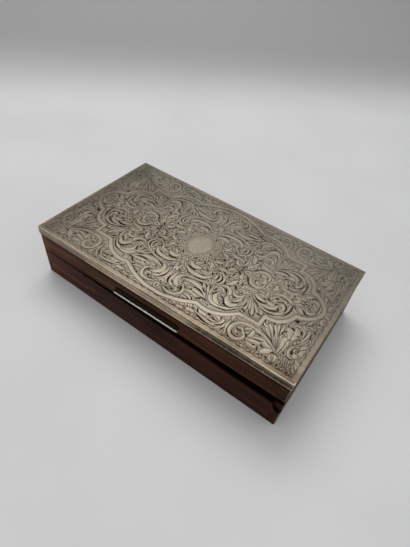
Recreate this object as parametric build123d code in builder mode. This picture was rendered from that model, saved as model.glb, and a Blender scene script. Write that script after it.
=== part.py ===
from build123d import *
from math import radians, tan
import os

# Cigar box: a hardwood base lined with cedar, and a hinged lid capped with sheet silver.
# The lid has warped with age: its front right corner stands up, and its hinge line is straight.
# Millimetres. The origin is the centre of the underside, +X right, +Y back, +Z up.

# Wooden box
box_length = 209.0
box_depth = 116.6
base_height = 24.0
lid_height = 21.5
wall = 6.0
back_wall = 8.0
bottom_thickness = 5.0
lid_panel_thickness = 6.0
edge_round = 0.6
corner_round = 0.8

# Lid seat and warp
lid_gap = 0.3
lid_warp = 6.6

# Cedar lining
lining = 2.5
lining_drop = 0.5
lid_lining = 2.0
lid_lining_gap = 0.2

# Silver cover plate, its skirt folded down over the rails
sheet = 0.5
plate_bed = 0.2
skirt_height = 6.6
plate_corner_round = 0.8
plate_edge_round = 0.4
plate_pin_radius = 0.5
plate_pin_length = 4.5
long_side_pin_count = 5
short_side_pin_count = 3
plate_pin_margin = 12.0

# Thumb piece: a flat back with a lip along its lower edge
thumb_length = 55.0
thumb_offset = -1.0
thumb_above_edge = 3.2
thumb_height = 5.5
thumb_thickness = 0.8
lip_reach = 1.9
lip_thickness = 1.3
thumb_end_round = 2.4
thumb_pin_radius = 0.5
thumb_pin_length = 4.5
thumb_pin_spacing = 40.0

# Butt hinges, let into the back edges
hinge_from_end = 42.5
hinge_length = 24.0
hinge_inset = 3.0
bevel_angle = 50.0
knuckle_radius = 1.8
knuckle_count = 5
knuckle_gap = 0.2
leaf_thickness = 1.0
leaf_margin = 0.4
hinge_pin_radius = 0.8
pin_clearance = 0.05
leaf_clearance = 0.05
knuckle_clearance = 0.25
screw_spacing = 15.0
screw_radius = 0.65
screw_head_radius = 1.2
screw_head_height = 0.6
screw_length = 7.0
screw_slot_width = 0.35
screw_slot_depth = 0.3
screw_clearance = 0.03
drill_allowance = 0.3

# Chipped corner of the right board
chip_height = 8.4
chip_depth = 2.6

# Places worked out from the sizes above
right_x = box_length / 2
left_x = -right_x
front_y = -box_depth / 2
back_y = box_depth / 2
inner_right_x = right_x - wall
inner_left_x = left_x + wall
inner_front_y = front_y + wall
inner_back_y = back_y - back_wall
lid_bottom = base_height + lid_gap
lid_top = lid_bottom + lid_height
hinge_y = back_y - hinge_inset
hinge_z = base_height + lid_gap / 2
bevel_drop = hinge_inset * tan(radians(bevel_angle))
lining_top = base_height - lining_drop
lining_floor_top = bottom_thickness + lining
hinge_places = {"left": left_x + hinge_from_end, "right": right_x - hinge_from_end}
leaf_front_y = inner_back_y + leaf_margin
screw_y = (leaf_front_y + hinge_y - knuckle_radius) / 2
knuckle_pitch = hinge_length / knuckle_count
screw_hole_radius = screw_radius + screw_clearance
bore_radius = hinge_pin_radius + pin_clearance
relief_radius = knuckle_radius + knuckle_clearance

os.makedirs("parts", exist_ok=True)


def write(builder, name):
    """Labels a finished piece and writes it as its own file."""
    builder.part.label = name
    export_step(builder.part, f"parts/{name}.step")


def block(x_from, x_to, y_from, y_to, z_from, z_to, mode=Mode.ADD):
    """A square block between the six planes given."""
    with BuildSketch(Plane.XY.offset(z_from), mode=Mode.PRIVATE) as footprint:
        with Locations(((x_from + x_to) / 2, (y_from + y_to) / 2)):
            Rectangle(x_to - x_from, y_to - y_from)
    extrude(footprint.sketch, amount=z_to - z_from, mode=mode)


def rod(plane, radius, length, mode=Mode.ADD):
    """A round rod that starts on a plane and runs along its normal."""
    with BuildSketch(plane, mode=Mode.PRIVATE) as end:
        Circle(radius)
    extrude(end.sketch, amount=length, mode=mode)


def lid_rise(x, y):
    """How far the warp lifts the lid at this place: nothing at its left end or its hinge line."""
    along = (x - left_x) / box_length
    across = (hinge_y - y) / (hinge_y - front_y)
    return lid_warp * along * across


def lid_section(x, outline):
    """One cross-section of a lid piece, from y and z points, with the warp at that x in it."""
    plane = Plane(origin=(x, 0, 0), x_dir=(0, 1, 0), z_dir=(1, 0, 0))
    with BuildSketch(plane, mode=Mode.PRIVATE) as section:
        with BuildLine():
            Polyline([(y, z + lid_rise(x, y)) for y, z in outline], close=True)
        make_face()
    return section.sketch


def lid_block(x_from, x_to, outline, mode=Mode.ADD):
    """A warped lid piece: straight between its two end sections."""
    ends = [lid_section(x_from, outline), lid_section(x_to, outline)]
    loft(ends, ruled=True, mode=mode)


def oblong(y_from, y_to, z_from, z_to):
    """The four corners of a rectangular section."""
    return [(y_from, z_from), (y_to, z_from), (y_to, z_to), (y_from, z_to)]


def screw_place(hinge_x, side, z):
    """The place of one hinge screw, at a height."""
    return (hinge_x + side * screw_spacing / 2, screw_y, z)


def drill_for_screws(z, direction, depth, radius):
    """Cuts the four screw holes of both hinges, from a height and in a direction."""
    for hinge_x in hinge_places.values():
        for side in (-1, 1):
            place = Plane(origin=screw_place(hinge_x, side, z), z_dir=(0, 0, direction))
            rod(place, radius, depth, mode=Mode.SUBTRACT)


def cut_hinge_seats(leaf_z_from, leaf_z_to):
    """Cuts the seats of both leaves, and the hollows that clear the knuckles."""
    half = hinge_length / 2 + leaf_clearance
    for hinge_x in hinge_places.values():
        block(
            hinge_x - half,
            hinge_x + half,
            leaf_front_y - leaf_clearance,
            back_y,
            leaf_z_from,
            leaf_z_to,
            mode=Mode.SUBTRACT,
        )
        rod(
            Plane(origin=(hinge_x - half, hinge_y, hinge_z), z_dir=(1, 0, 0)),
            relief_radius,
            2 * half,
            mode=Mode.SUBTRACT,
        )


# Base: the end boards run the full depth, so their end grain shows at the front
with BuildPart() as base_front_board:
    block(inner_left_x, inner_right_x, front_y, inner_front_y, 0, base_height)
    front_face = base_front_board.faces().sort_by(Axis.Y)[0]
    fillet(front_face.edges().filter_by(Axis.X), edge_round)
write(base_front_board, "base_front_board")

with BuildPart() as base_back_board:
    back_outline = Plane(origin=(inner_left_x, 0, 0), x_dir=(0, 1, 0), z_dir=(1, 0, 0))
    with BuildSketch(back_outline):
        with BuildLine():
            Polyline(
                (inner_back_y, 0),
                (back_y, 0),
                (back_y, base_height - bevel_drop),
                (hinge_y, base_height),
                (inner_back_y, base_height),
                close=True,
            )
        make_face()
    extrude(amount=inner_right_x - inner_left_x)
    lower_back = edges().filter_by_position(Axis.Y, back_y, back_y).sort_by(Axis.Z)[0]
    fillet(lower_back, edge_round)
    cut_hinge_seats(base_height - leaf_thickness, base_height + leaf_thickness)
    drill_for_screws(
        base_height, -1, screw_length + drill_allowance, screw_hole_radius
    )
write(base_back_board, "base_back_board")


def ease_outside(face, inner_x):
    """Rounds a face's edges, but not the one against the inside or the one along the hinge line."""
    outside = face.edges().filter_by(
        lambda edge: abs(edge.center().X - inner_x) > edge_round
        and abs(edge.center().Y - hinge_y) > edge_round
    )
    fillet(outside, edge_round)


def base_end_board(x_inner, x_outer):
    """An end board of the base, bevelled at the back, its outer edges eased."""
    start = Plane(origin=(x_inner, 0, 0), x_dir=(0, 1, 0), z_dir=(1, 0, 0))
    with BuildSketch(start, mode=Mode.PRIVATE) as outline:
        with BuildLine():
            Polyline(
                (front_y, 0),
                (back_y, 0),
                (back_y, base_height - bevel_drop),
                (hinge_y, base_height),
                (front_y, base_height),
                close=True,
            )
        make_face()
    extrude(outline.sketch, amount=x_outer - x_inner)
    corners = edges().filter_by(Axis.Z).filter_by_position(Axis.X, x_outer, x_outer)
    fillet(corners, corner_round)
    ease_outside(faces().sort_by(Axis.Z)[0], x_inner)
    ease_outside(faces().sort_by(Axis.Z)[-1], x_inner)


with BuildPart() as base_left_board:
    base_end_board(inner_left_x, left_x)
write(base_left_board, "base_left_board")

with BuildPart() as base_right_board:
    base_end_board(inner_right_x, right_x)
    with BuildSketch(Plane.XZ.offset(-front_y)):
        with BuildLine():
            Polyline(
                (inner_right_x, base_height + edge_round),
                (inner_right_x, base_height - 0.4 * chip_height),
                (inner_right_x + 0.22 * wall, base_height - 0.78 * chip_height),
                (inner_right_x + 0.5 * wall, base_height - 0.96 * chip_height),
                (right_x + edge_round, base_height - chip_height),
                (right_x + edge_round, base_height + edge_round),
                close=True,
            )
        make_face()
    extrude(amount=-chip_depth, mode=Mode.SUBTRACT)
write(base_right_board, "base_right_board")

with BuildPart() as base_bottom_panel:
    block(inner_left_x, inner_right_x, inner_front_y, inner_back_y, 0, bottom_thickness)
write(base_bottom_panel, "base_bottom_panel")

# Cedar lining of the base: a floor, then four thin walls standing on it
with BuildPart() as lining_floor:
    block(
        inner_left_x,
        inner_right_x,
        inner_front_y,
        inner_back_y,
        bottom_thickness,
        lining_floor_top,
    )
write(lining_floor, "lining_floor")

with BuildPart() as lining_left:
    block(
        inner_left_x,
        inner_left_x + lining,
        inner_front_y,
        inner_back_y,
        lining_floor_top,
        lining_top,
    )
write(lining_left, "lining_left")

with BuildPart() as lining_right:
    block(
        inner_right_x - lining,
        inner_right_x,
        inner_front_y,
        inner_back_y,
        lining_floor_top,
        lining_top,
    )
write(lining_right, "lining_right")

with BuildPart() as lining_front:
    block(
        inner_left_x + lining,
        inner_right_x - lining,
        inner_front_y,
        inner_front_y + lining,
        lining_floor_top,
        lining_top,
    )
write(lining_front, "lining_front")

with BuildPart() as lining_back:
    block(
        inner_left_x + lining,
        inner_right_x - lining,
        inner_back_y - lining,
        inner_back_y,
        lining_floor_top,
        lining_top,
    )
write(lining_back, "lining_back")

# Pins that hold the silver: places on the rails, with the direction into the wood
plate_pin_drop = skirt_height / 2


def spread(count, low, high):
    """Evenly spaced places between two ends, inside the pin margin."""
    first = low + plate_pin_margin
    last = high - plate_pin_margin
    return [first + (last - first) * i / (count - 1) for i in range(count)]


def plate_pin_plane(x, y, direction):
    """The plane on the skirt's outer face where a pin starts, looking into the wood."""
    z = lid_top - plate_pin_drop + lid_rise(x, y)
    return Plane(origin=(x, y, z), z_dir=direction)


front_pin_planes = [
    plate_pin_plane(x, front_y - sheet, (0, 1, 0))
    for x in spread(long_side_pin_count, inner_left_x, inner_right_x)
]
back_pin_planes = [
    plate_pin_plane(x, back_y + sheet, (0, -1, 0))
    for x in spread(long_side_pin_count, inner_left_x, inner_right_x)
]
left_pin_planes = [
    plate_pin_plane(left_x - sheet, y, (1, 0, 0))
    for y in spread(short_side_pin_count, front_y, back_y)
]
right_pin_planes = [
    plate_pin_plane(right_x + sheet, y, (-1, 0, 0))
    for y in spread(short_side_pin_count, front_y, back_y)
]
all_pin_planes = front_pin_planes + back_pin_planes + left_pin_planes + right_pin_planes


def drill_for_plate_pins(planes):
    """Cuts the pins' holes, a little deeper than the pins are long."""
    for plane in planes:
        rod(
            plane,
            plate_pin_radius + screw_clearance,
            plate_pin_length + drill_allowance,
            mode=Mode.SUBTRACT,
        )


# Thumb piece: its plane follows the lower edge of the warped lid
thumb_slope = (
    lid_rise(right_x, front_y) - lid_rise(left_x, front_y)
) / box_length
thumb_x_from = thumb_offset - thumb_length / 2
thumb_x_to = thumb_offset + thumb_length / 2
thumb_bottom = lid_bottom + thumb_above_edge


def thumb_plane(x):
    """The plane across the thumb piece at x: its own x runs into the wood, its own y runs up."""
    z = thumb_bottom + lid_rise(x, front_y)
    return Plane(origin=(x, front_y, z), x_dir=(0, 1, 0), z_dir=(1, 0, thumb_slope))


def thumb_pin_plane(side):
    """The plane on the thumb piece's face where a pin starts, looking into the wood."""
    x = thumb_offset + side * thumb_pin_spacing / 2
    z = thumb_bottom + lid_rise(x, front_y) + (lip_thickness + thumb_height) / 2
    return Plane(origin=(x, front_y - thumb_thickness, z), z_dir=(0, 1, 0))


def drill_for_thumb_pins():
    """Cuts the holes of the thumb piece's two pins."""
    for side in (-1, 1):
        rod(
            thumb_pin_plane(side),
            thumb_pin_radius + screw_clearance,
            thumb_pin_length + drill_allowance,
            mode=Mode.SUBTRACT,
        )


# Lid rails: the end rails run the full depth, like the end boards below them
with BuildPart() as lid_front_rail:
    lid_block(
        inner_left_x,
        inner_right_x,
        oblong(front_y, inner_front_y, lid_bottom, lid_top),
    )
    front_face = lid_front_rail.faces().sort_by(Axis.Y)[0]
    fillet(front_face.edges().sort_by(Axis.Z)[0], edge_round)
    drill_for_plate_pins(front_pin_planes)
    drill_for_thumb_pins()
write(lid_front_rail, "lid_front_rail")

with BuildPart() as lid_back_rail:
    lid_block(
        inner_left_x,
        inner_right_x,
        [
            (inner_back_y, lid_bottom),
            (hinge_y, lid_bottom),
            (back_y, lid_bottom + bevel_drop),
            (back_y, lid_top),
            (inner_back_y, lid_top),
        ],
    )
    cut_hinge_seats(lid_bottom - leaf_thickness, lid_bottom + leaf_thickness)
    drill_for_screws(lid_bottom, 1, screw_length + drill_allowance, screw_hole_radius)
    drill_for_plate_pins(back_pin_planes)
write(lid_back_rail, "lid_back_rail")


def lid_end_rail(x_inner, x_outer, pin_planes):
    """An end rail of the lid, bevelled at the back, its outer edges eased."""
    lid_block(
        x_inner,
        x_outer,
        [
            (front_y, lid_bottom),
            (hinge_y, lid_bottom),
            (back_y, lid_bottom + bevel_drop),
            (back_y, lid_top),
            (front_y, lid_top),
        ],
    )
    corners = edges().filter_by(Axis.Z).filter_by_position(Axis.X, x_outer, x_outer)
    fillet(corners, corner_round)
    underside = faces().filter_by(lambda face: face.normal_at().Z < -0.9)[0]
    ease_outside(underside, x_inner)
    drill_for_plate_pins(pin_planes)


with BuildPart() as lid_left_rail:
    lid_end_rail(inner_left_x, left_x, left_pin_planes)
write(lid_left_rail, "lid_left_rail")

with BuildPart() as lid_right_rail:
    lid_end_rail(inner_right_x, right_x, right_pin_planes)
write(lid_right_rail, "lid_right_rail")

with BuildPart() as lid_top_panel:
    lid_block(
        inner_left_x,
        inner_right_x,
        oblong(inner_front_y, inner_back_y, lid_top - lid_panel_thickness, lid_top),
    )
write(lid_top_panel, "lid_top_panel")

lid_lining_top = lid_top - lid_panel_thickness - lid_lining_gap

with BuildPart() as lid_lining_panel:
    lid_block(
        inner_left_x,
        inner_right_x,
        oblong(
            inner_front_y,
            inner_back_y,
            lid_lining_top - lid_lining,
            lid_lining_top,
        ),
    )
write(lid_lining_panel, "lid_lining_panel")

# Silver cover plate
plate_under = lid_top + plate_bed
plate_top = plate_under + sheet
skirt_bottom = plate_top - skirt_height

with BuildPart() as cover_plate:
    lid_block(
        left_x - sheet,
        right_x + sheet,
        oblong(front_y - sheet, back_y + sheet, skirt_bottom, plate_top),
    )
    fillet(cover_plate.edges().filter_by(Axis.Z), plate_corner_round)
    top_face = cover_plate.faces().sort_by(Axis.Z)[-1]
    fillet(top_face.edges(), plate_edge_round)
    lid_block(
        left_x,
        right_x,
        oblong(front_y, back_y, skirt_bottom - skirt_height, plate_under),
        mode=Mode.SUBTRACT,
    )
    drill_for_plate_pins(all_pin_planes)
write(cover_plate, "cover_plate")

with BuildPart() as cover_plate_pins:
    for plane in all_pin_planes:
        rod(plane, plate_pin_radius, plate_pin_length)
write(cover_plate_pins, "cover_plate_pins")

with BuildPart() as thumb_piece:
    with BuildSketch(thumb_plane(thumb_x_from)):
        with BuildLine():
            lip_under = Line((0, 0), (-lip_reach + lip_thickness / 2, 0))
            lip_nose = ThreePointArc(
                lip_under @ 1,
                (-lip_reach, lip_thickness / 2),
                (-lip_reach + lip_thickness / 2, lip_thickness),
            )
            hollow = ThreePointArc(
                lip_nose @ 1,
                (-thumb_thickness - 0.15 * lip_reach, 1.35 * lip_thickness),
                (-thumb_thickness, 2 * lip_thickness),
            )
            Polyline(
                hollow @ 1,
                (-thumb_thickness, thumb_height),
                (0, thumb_height),
                (0, 0),
            )
        make_face()
    extrude(amount=thumb_length)
    upper_corners = thumb_piece.edges().filter_by(Axis.Y).group_by(SortBy.LENGTH)[0]
    fillet(upper_corners, thumb_end_round)
    drill_for_thumb_pins()
write(thumb_piece, "thumb_piece")

with BuildPart() as thumb_piece_pins:
    for side in (-1, 1):
        rod(thumb_pin_plane(side), thumb_pin_radius, thumb_pin_length)
write(thumb_piece_pins, "thumb_piece_pins")


def knuckle_planes(hinge_x, parity):
    """The planes where every second knuckle starts: even ones or odd ones."""
    start = hinge_x - hinge_length / 2
    places = [start + i * knuckle_pitch for i in range(knuckle_count) if i % 2 == parity]
    return [Plane(origin=(x, hinge_y, hinge_z), z_dir=(1, 0, 0)) for x in places]


def hinge_leaf(hinge_x, z_from, screw_z, screw_direction, parity):
    """A leaf with every second knuckle, cut back round the other leaf's knuckles."""
    half = hinge_length / 2
    block(
        hinge_x - half,
        hinge_x + half,
        leaf_front_y,
        hinge_y,
        z_from,
        z_from + leaf_thickness,
    )
    for plane in knuckle_planes(hinge_x, 1 - parity):
        rod(plane, knuckle_radius + knuckle_gap, knuckle_pitch, mode=Mode.SUBTRACT)
    for plane in knuckle_planes(hinge_x, parity):
        inset = plane.offset(knuckle_gap / 2)
        rod(inset, knuckle_radius, knuckle_pitch - knuckle_gap)
    bore_start = Plane(origin=(hinge_x - half, hinge_y, hinge_z), z_dir=(1, 0, 0))
    rod(bore_start, bore_radius, hinge_length, mode=Mode.SUBTRACT)
    for side in (-1, 1):
        place = Plane(
            origin=screw_place(hinge_x, side, screw_z), z_dir=(0, 0, screw_direction)
        )
        rod(place, screw_hole_radius, leaf_thickness, mode=Mode.SUBTRACT)
        countersink(place, screw_clearance, mode=Mode.SUBTRACT)


def countersink(plane, allowance, mode=Mode.ADD):
    """The cone of a countersunk screw head, widest on its plane."""
    with BuildSketch(plane, mode=Mode.PRIVATE) as rim:
        Circle(screw_head_radius + allowance)
    with BuildSketch(plane.offset(screw_head_height), mode=Mode.PRIVATE) as neck:
        Circle(screw_radius + allowance)
    loft([rim.sketch, neck.sketch], mode=mode)


def hinge_screws(z, direction):
    """The four countersunk screws that hold one leaf of each hinge."""
    for hinge_x in hinge_places.values():
        for side in (-1, 1):
            place = Plane(origin=screw_place(hinge_x, side, z), z_dir=(0, 0, direction))
            rod(place, screw_radius, screw_length)
            countersink(place, 0)
            with BuildSketch(place, mode=Mode.PRIVATE) as slot:
                Rectangle(3 * screw_head_radius, screw_slot_width)
            extrude(slot.sketch, amount=screw_slot_depth, mode=Mode.SUBTRACT)


for hand, hinge_x in hinge_places.items():
    with BuildPart() as base_leaf:
        hinge_leaf(hinge_x, base_height - leaf_thickness, base_height, -1, parity=0)
    write(base_leaf, f"{hand}_hinge_base_leaf")

    with BuildPart() as lid_leaf:
        hinge_leaf(hinge_x, lid_bottom, lid_bottom, 1, parity=1)
    write(lid_leaf, f"{hand}_hinge_lid_leaf")

    with BuildPart() as hinge_pin:
        pin_start = hinge_x - hinge_length / 2 + knuckle_gap / 2
        rod(
            Plane(origin=(pin_start, hinge_y, hinge_z), z_dir=(1, 0, 0)),
            hinge_pin_radius,
            hinge_length - knuckle_gap,
        )
    write(hinge_pin, f"{hand}_hinge_pin")

with BuildPart() as hinge_base_screws:
    hinge_screws(base_height, -1)
write(hinge_base_screws, "hinge_base_screws")

with BuildPart() as hinge_lid_screws:
    hinge_screws(lid_bottom, 1)
write(hinge_lid_screws, "hinge_lid_screws")
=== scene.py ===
from math import cos, pi, radians, sin

import bpy
import numpy as np
from mathutils import Matrix, Vector


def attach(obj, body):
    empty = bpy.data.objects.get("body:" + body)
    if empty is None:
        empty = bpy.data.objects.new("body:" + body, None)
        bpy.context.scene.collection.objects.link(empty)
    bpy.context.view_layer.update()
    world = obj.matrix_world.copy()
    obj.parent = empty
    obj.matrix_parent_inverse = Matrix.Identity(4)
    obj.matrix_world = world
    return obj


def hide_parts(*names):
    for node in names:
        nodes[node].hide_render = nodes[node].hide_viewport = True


# Cigar box with an engraved silver lid. Metres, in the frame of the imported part:
# the origin is the centre of the underside, +X right, +Y back, +Z up.
MM = 0.001

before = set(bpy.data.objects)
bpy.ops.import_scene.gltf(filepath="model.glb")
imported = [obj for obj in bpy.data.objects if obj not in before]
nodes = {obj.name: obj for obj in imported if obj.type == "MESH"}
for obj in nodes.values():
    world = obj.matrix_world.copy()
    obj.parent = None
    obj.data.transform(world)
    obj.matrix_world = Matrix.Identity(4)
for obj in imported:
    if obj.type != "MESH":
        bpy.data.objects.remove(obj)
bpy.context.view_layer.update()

# Sizes of the lid that its silver follows, in millimetres
PLATE_X, PLATE_Y = 105.0, 58.8
PLATE_TOP = 46.5
LEFT_X, BOX_LENGTH = -104.5, 209.0
HINGE_Y, FRONT_Y = 55.3, -58.3
LID_WARP = 6.6
CORNER_ROUND = 0.8
BEAD = 0.6


def lid_rise(x, y):
    """How far the warp lifts the lid here, in millimetres."""
    return LID_WARP * (x - LEFT_X) / BOX_LENGTH * (HINGE_Y - y) / (HINGE_Y - FRONT_Y)


# Making objects


def new_object(name, data):
    """An object in the scene, at the origin and unturned."""
    made = bpy.data.objects.new(name, data)
    bpy.context.scene.collection.objects.link(made)
    return made


def mesh_object(name, points, faces, crease=None):
    """A smooth piece from points in millimetres; edges sharper than the crease, in degrees, stay sharp."""
    mesh = bpy.data.meshes.new(name)
    mesh.from_pydata((np.asarray(points, float) * MM).tolist(), [], faces)
    mesh.validate()
    smooth(mesh)
    if crease:
        mesh.set_sharp_from_angle(angle=radians(crease))
    mesh.update()
    return new_object(name, mesh)


def smooth(mesh):
    """Shades every face of a mesh smooth."""
    mesh.polygons.foreach_set("use_smooth", [True] * len(mesh.polygons))


def set_attribute(piece, name, values):
    """One number for each point of a piece."""
    attribute = piece.data.attributes.new(name, "FLOAT", "POINT")
    attribute.data.foreach_set("value", np.asarray(values, np.float32).ravel())


# Shader and geometry nodes


class Value:
    """What a node gives. A sum written with it adds the node that works the sum out."""

    def __init__(self, socket):
        self.socket = socket

    def worked_out(self, operation, a, b):
        """The result of an operation on two numbers."""
        made = add(self.socket.id_data, "ShaderNodeMath", {0: a, 1: b}, operation=operation)
        return Value(made.outputs[0])

    def __add__(self, other):
        return self.worked_out("ADD", self, other)

    def __sub__(self, other):
        return self.worked_out("SUBTRACT", self, other)

    def __rsub__(self, other):
        return self.worked_out("SUBTRACT", other, self)

    def __mul__(self, other):
        return self.worked_out("MULTIPLY", self, other)

    def at_least(self, other):
        """The larger of this number and another."""
        return self.worked_out("MAXIMUM", self, other)

    def clamped(self):
        """This number, kept from 0 to 1 by the node that gives it."""
        self.socket.node.use_clamp = True
        return self

    def ramp(self, low, high, to_low=0.0, to_high=1.0):
        """This number, read smoothly from one range into another."""
        ranges = {"Value": self, "From Min": low, "From Max": high, "To Min": to_low, "To Max": to_high}
        made = add(self.socket.id_data, "ShaderNodeMapRange", ranges, interpolation_type="SMOOTHSTEP")
        return Value(made.outputs["Result"])


def give(tree, node, inputs):
    """Sets a node's inputs, each to a plain value or to what another node gives."""
    for key, value in inputs.items():
        value = getattr(value, "socket", value)
        if isinstance(value, bpy.types.NodeSocket):
            tree.links.new(value, node.inputs[key])
        else:
            node.inputs[key].default_value = value


def add(tree, kind, inputs=None, **settings):
    """A new node with its settings and inputs."""
    made = tree.nodes.new(kind)
    for key, value in settings.items():
        setattr(made, key, value)
    give(tree, made, inputs or {})
    return made


def blend(tree, share, a, b, way="MIX"):
    """Two colours mixed by a share."""
    made = add(tree, "ShaderNodeMix", {0: share, 6: a, 7: b}, data_type="RGBA", blend_type=way)
    return Value(made.outputs[2])


def noise(tree, vector, scale, detail=3.0, rough=0.5, distortion=0.0):
    """A cloudy pattern, between 0 and 1."""
    inputs = {"Vector": vector, "Scale": scale, "Detail": detail, "Roughness": rough}
    made = add(tree, "ShaderNodeTexNoise", {**inputs, "Distortion": distortion})
    return Value(made.outputs["Fac"])


def stretched(tree, vector, scale, turn=(0, 0, 0)):
    """Coordinates stretched and turned."""
    return add(tree, "ShaderNodeMapping", {"Vector": vector, "Scale": scale, "Rotation": turn}).outputs[0]


def parts_of(tree, vector):
    """The X, Y and Z of a vector."""
    return [Value(socket) for socket in add(tree, "ShaderNodeSeparateXYZ", {"Vector": vector}).outputs]


def new_group(name, inputs, outputs, kind="ShaderNodeTree"):
    """An empty node group; gives its tree, what it is given by name, and its end node."""
    tree = bpy.data.node_groups.new(name, kind)
    for way, sockets in (("INPUT", inputs), ("OUTPUT", outputs)):
        for label, socket_kind in sockets.items():
            tree.interface.new_socket(name=label, in_out=way, socket_type="NodeSocket" + socket_kind)
    given = {socket.name: Value(socket) for socket in tree.nodes.new("NodeGroupInput").outputs}
    return tree, given, tree.nodes.new("NodeGroupOutput")


def new_material(name):
    """A material: itself, its tree, its surface and its object coordinates."""
    material = bpy.data.materials.new(name)
    material.use_nodes = True
    tree = material.node_tree
    tree.nodes.clear()
    surface = tree.nodes.new("ShaderNodeBsdfPrincipled")
    output = tree.nodes.new("ShaderNodeOutputMaterial")
    tree.links.new(surface.outputs[0], output.inputs[0])
    return material, tree, surface, tree.nodes.new("ShaderNodeTexCoord").outputs["Object"]


def finish_with(material, *pieces):
    """Gives pieces a material."""
    for piece in pieces:
        if piece.material_slots:
            for slot in piece.material_slots:
                slot.material = material
        else:
            piece.data.materials.append(material)


# Engraving, in millimetres

GRID = 0.25
GROUND = -0.045  # height of the cut ground below the leaves
MATTING = 0.31  # tarnish of the ground
OUTLINE = 0.3  # width of the dark line left round a stroke
MARGIN = 0.3  # how far beyond a stroke its softened edge is worked out
FAR = 99.0
STRAP_HALF = 1.35
FLOWER_RINGS = ((14.2, 6), (18.2, 5))  # radius round the cartouche, and flowers from the front to the side
CARTOUCHE_X, CARTOUCHE_Y, CARTOUCHE_POWER = 7.9, 10.1, 1.7
BORDER_WIDTH = 3.5
LEAF_END, LEAF_FRONT = 100.4, -54.4  # the small leaves stop short of the border
CLEARING = (12.6, 13.0)  # and keep away from the cartouche

# The small leaves, largest first: steps of the grid to any stroke, length, and at most how many
SMALL_LEAVES = ((8, 6.4, 40), (6, 4.8, 90), (4, 3.4, 150), (3, 2.4, 200))


def ease(low, high, value):
    """A smooth step from 0 at low to 1 at high."""
    t = np.clip((value - low) / (high - low), 0, 1)
    return t * t * (3 - 2 * t)


def wave(place, pitch):
    """A wave from 0 to 1, with its crests a pitch apart."""
    return 0.5 + 0.5 * np.cos(2 * pi * place / pitch)


class Quarter:
    """The plate's front right quarter on a fine grid: how high the silver stands, and its tarnish."""

    def __init__(self, width, depth):
        self.x = np.linspace(0, width, round(width / GRID) + 1)
        self.y = np.linspace(-depth, 0, round(depth / GRID) + 1)
        self.gx, self.gy = np.meshgrid(self.x, self.y)
        self.height = np.full(self.gx.shape, GROUND)
        self.tarnish = np.full(self.gx.shape, MATTING)
        self.taken = np.zeros(self.gx.shape, bool)

    def gap_to(self, points, radii, reach):
        """How far each place nearby lies outside a stroke, less than nothing inside it."""
        p, r = np.array(points, float), np.array(radii, float)
        low, high = (p - r[:, None]).min(0) - reach, (p + r[:, None]).max(0) + reach
        cols = slice(*np.searchsorted(self.x, (low[0], high[0])))
        rows = slice(*np.searchsorted(self.y, (low[1], high[1])))
        gx, gy = np.meshgrid(self.x[cols], self.y[rows])
        best = np.full(gx.shape, FAR)
        if best.size:
            for a, b, ra, rb in zip(p[:-1], p[1:], r[:-1], r[1:]):
                d = b - a
                t = ((gx - a[0]) * d[0] + (gy - a[1]) * d[1]) / max(d @ d, 1e-9)
                t = np.clip(t, 0, 1)
                gap = np.hypot(gx - a[0] - t * d[0], gy - a[1] - t * d[1])
                np.minimum(best, gap - ra - t * (rb - ra), out=best)
        return (rows, cols), best

    def leave(self, points, radii, line=OUTLINE):
        """Leaves a stroke of silver standing, with a dark line cut round it."""
        at, gap = self.gap_to(points, radii, line + MARGIN)
        over = ease(line + 0.14, line - 0.06, gap)
        body = ease(0.06, -0.45, gap)
        stain = 0.84 * ease(-0.12, 0.06, gap)
        self.height[at] += over * (GROUND * (1.3 - body) - self.height[at])
        self.tarnish[at] += over * (stain - self.tarnish[at])
        self.taken[at] |= gap < line

    def cut(self, points, radii, dark=1.0, depth=0.05):
        """Cuts a dark line into the silver."""
        at, gap = self.gap_to(points, radii, MARGIN)
        over = ease(0.12, -0.06, gap)
        self.height[at] -= depth * over * (self.height[at] > GROUND)
        np.maximum(self.tarnish[at], dark * over, out=self.tarnish[at])
        self.taken[at] |= gap < 0.1

    def hatch(self, points, half, slant=0.6):
        """A plain place with fine slanting lines and no leaves."""
        at, gap = self.gap_to(points, [half] * len(points), 2 * MARGIN)
        over = ease(0.3, -0.3, gap)
        lines = wave(self.gx + slant * self.gy, 1.05)[at]
        self.height[at] += over * (-0.01 - 0.02 * lines - self.height[at])
        self.tarnish[at] += over * (0.12 + 0.3 * lines - self.tarnish[at])
        self.taken[at] |= gap < 0.2

    def dot(self, centre, radius, dark=1.0, depth=0.05):
        """A round cut."""
        self.cut([centre, np.add(centre, 0.01)], [radius] * 2, dark, depth)


def places(numbers):
    """Points, from distances to the right and to the front of the plate's middle by turns."""
    return [(x, -y) for x, y in zip(numbers[::2], numbers[1::2])]


def through(points, count=7):
    """A smooth curve through points."""
    p = np.array(points, float)
    p = np.vstack([2 * p[0] - p[1], p, 2 * p[-1] - p[-2]])
    t = np.linspace(0, 1, count, endpoint=False)[:, None]
    out = []
    for a, b, c, d in zip(p[:-3], p[1:-2], p[2:-1], p[3:]):
        bend = (2 * a - 5 * b + 4 * c - d) * t**2 + (3 * b - a - 3 * c + d) * t**3
        out.append(0.5 * (2 * b + (c - a) * t + bend))
    return np.vstack(out + [p[-2:-1]])


def beside(path, offset):
    """The path moved sideways, to its left, by an offset for each point."""
    d = np.gradient(path, axis=0)
    d /= np.maximum(np.hypot(d[:, 0], d[:, 1]), 1e-9)[:, None]
    return path + np.stack([-d[:, 1], d[:, 0]], 1) * np.reshape(offset, (-1, 1))


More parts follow.
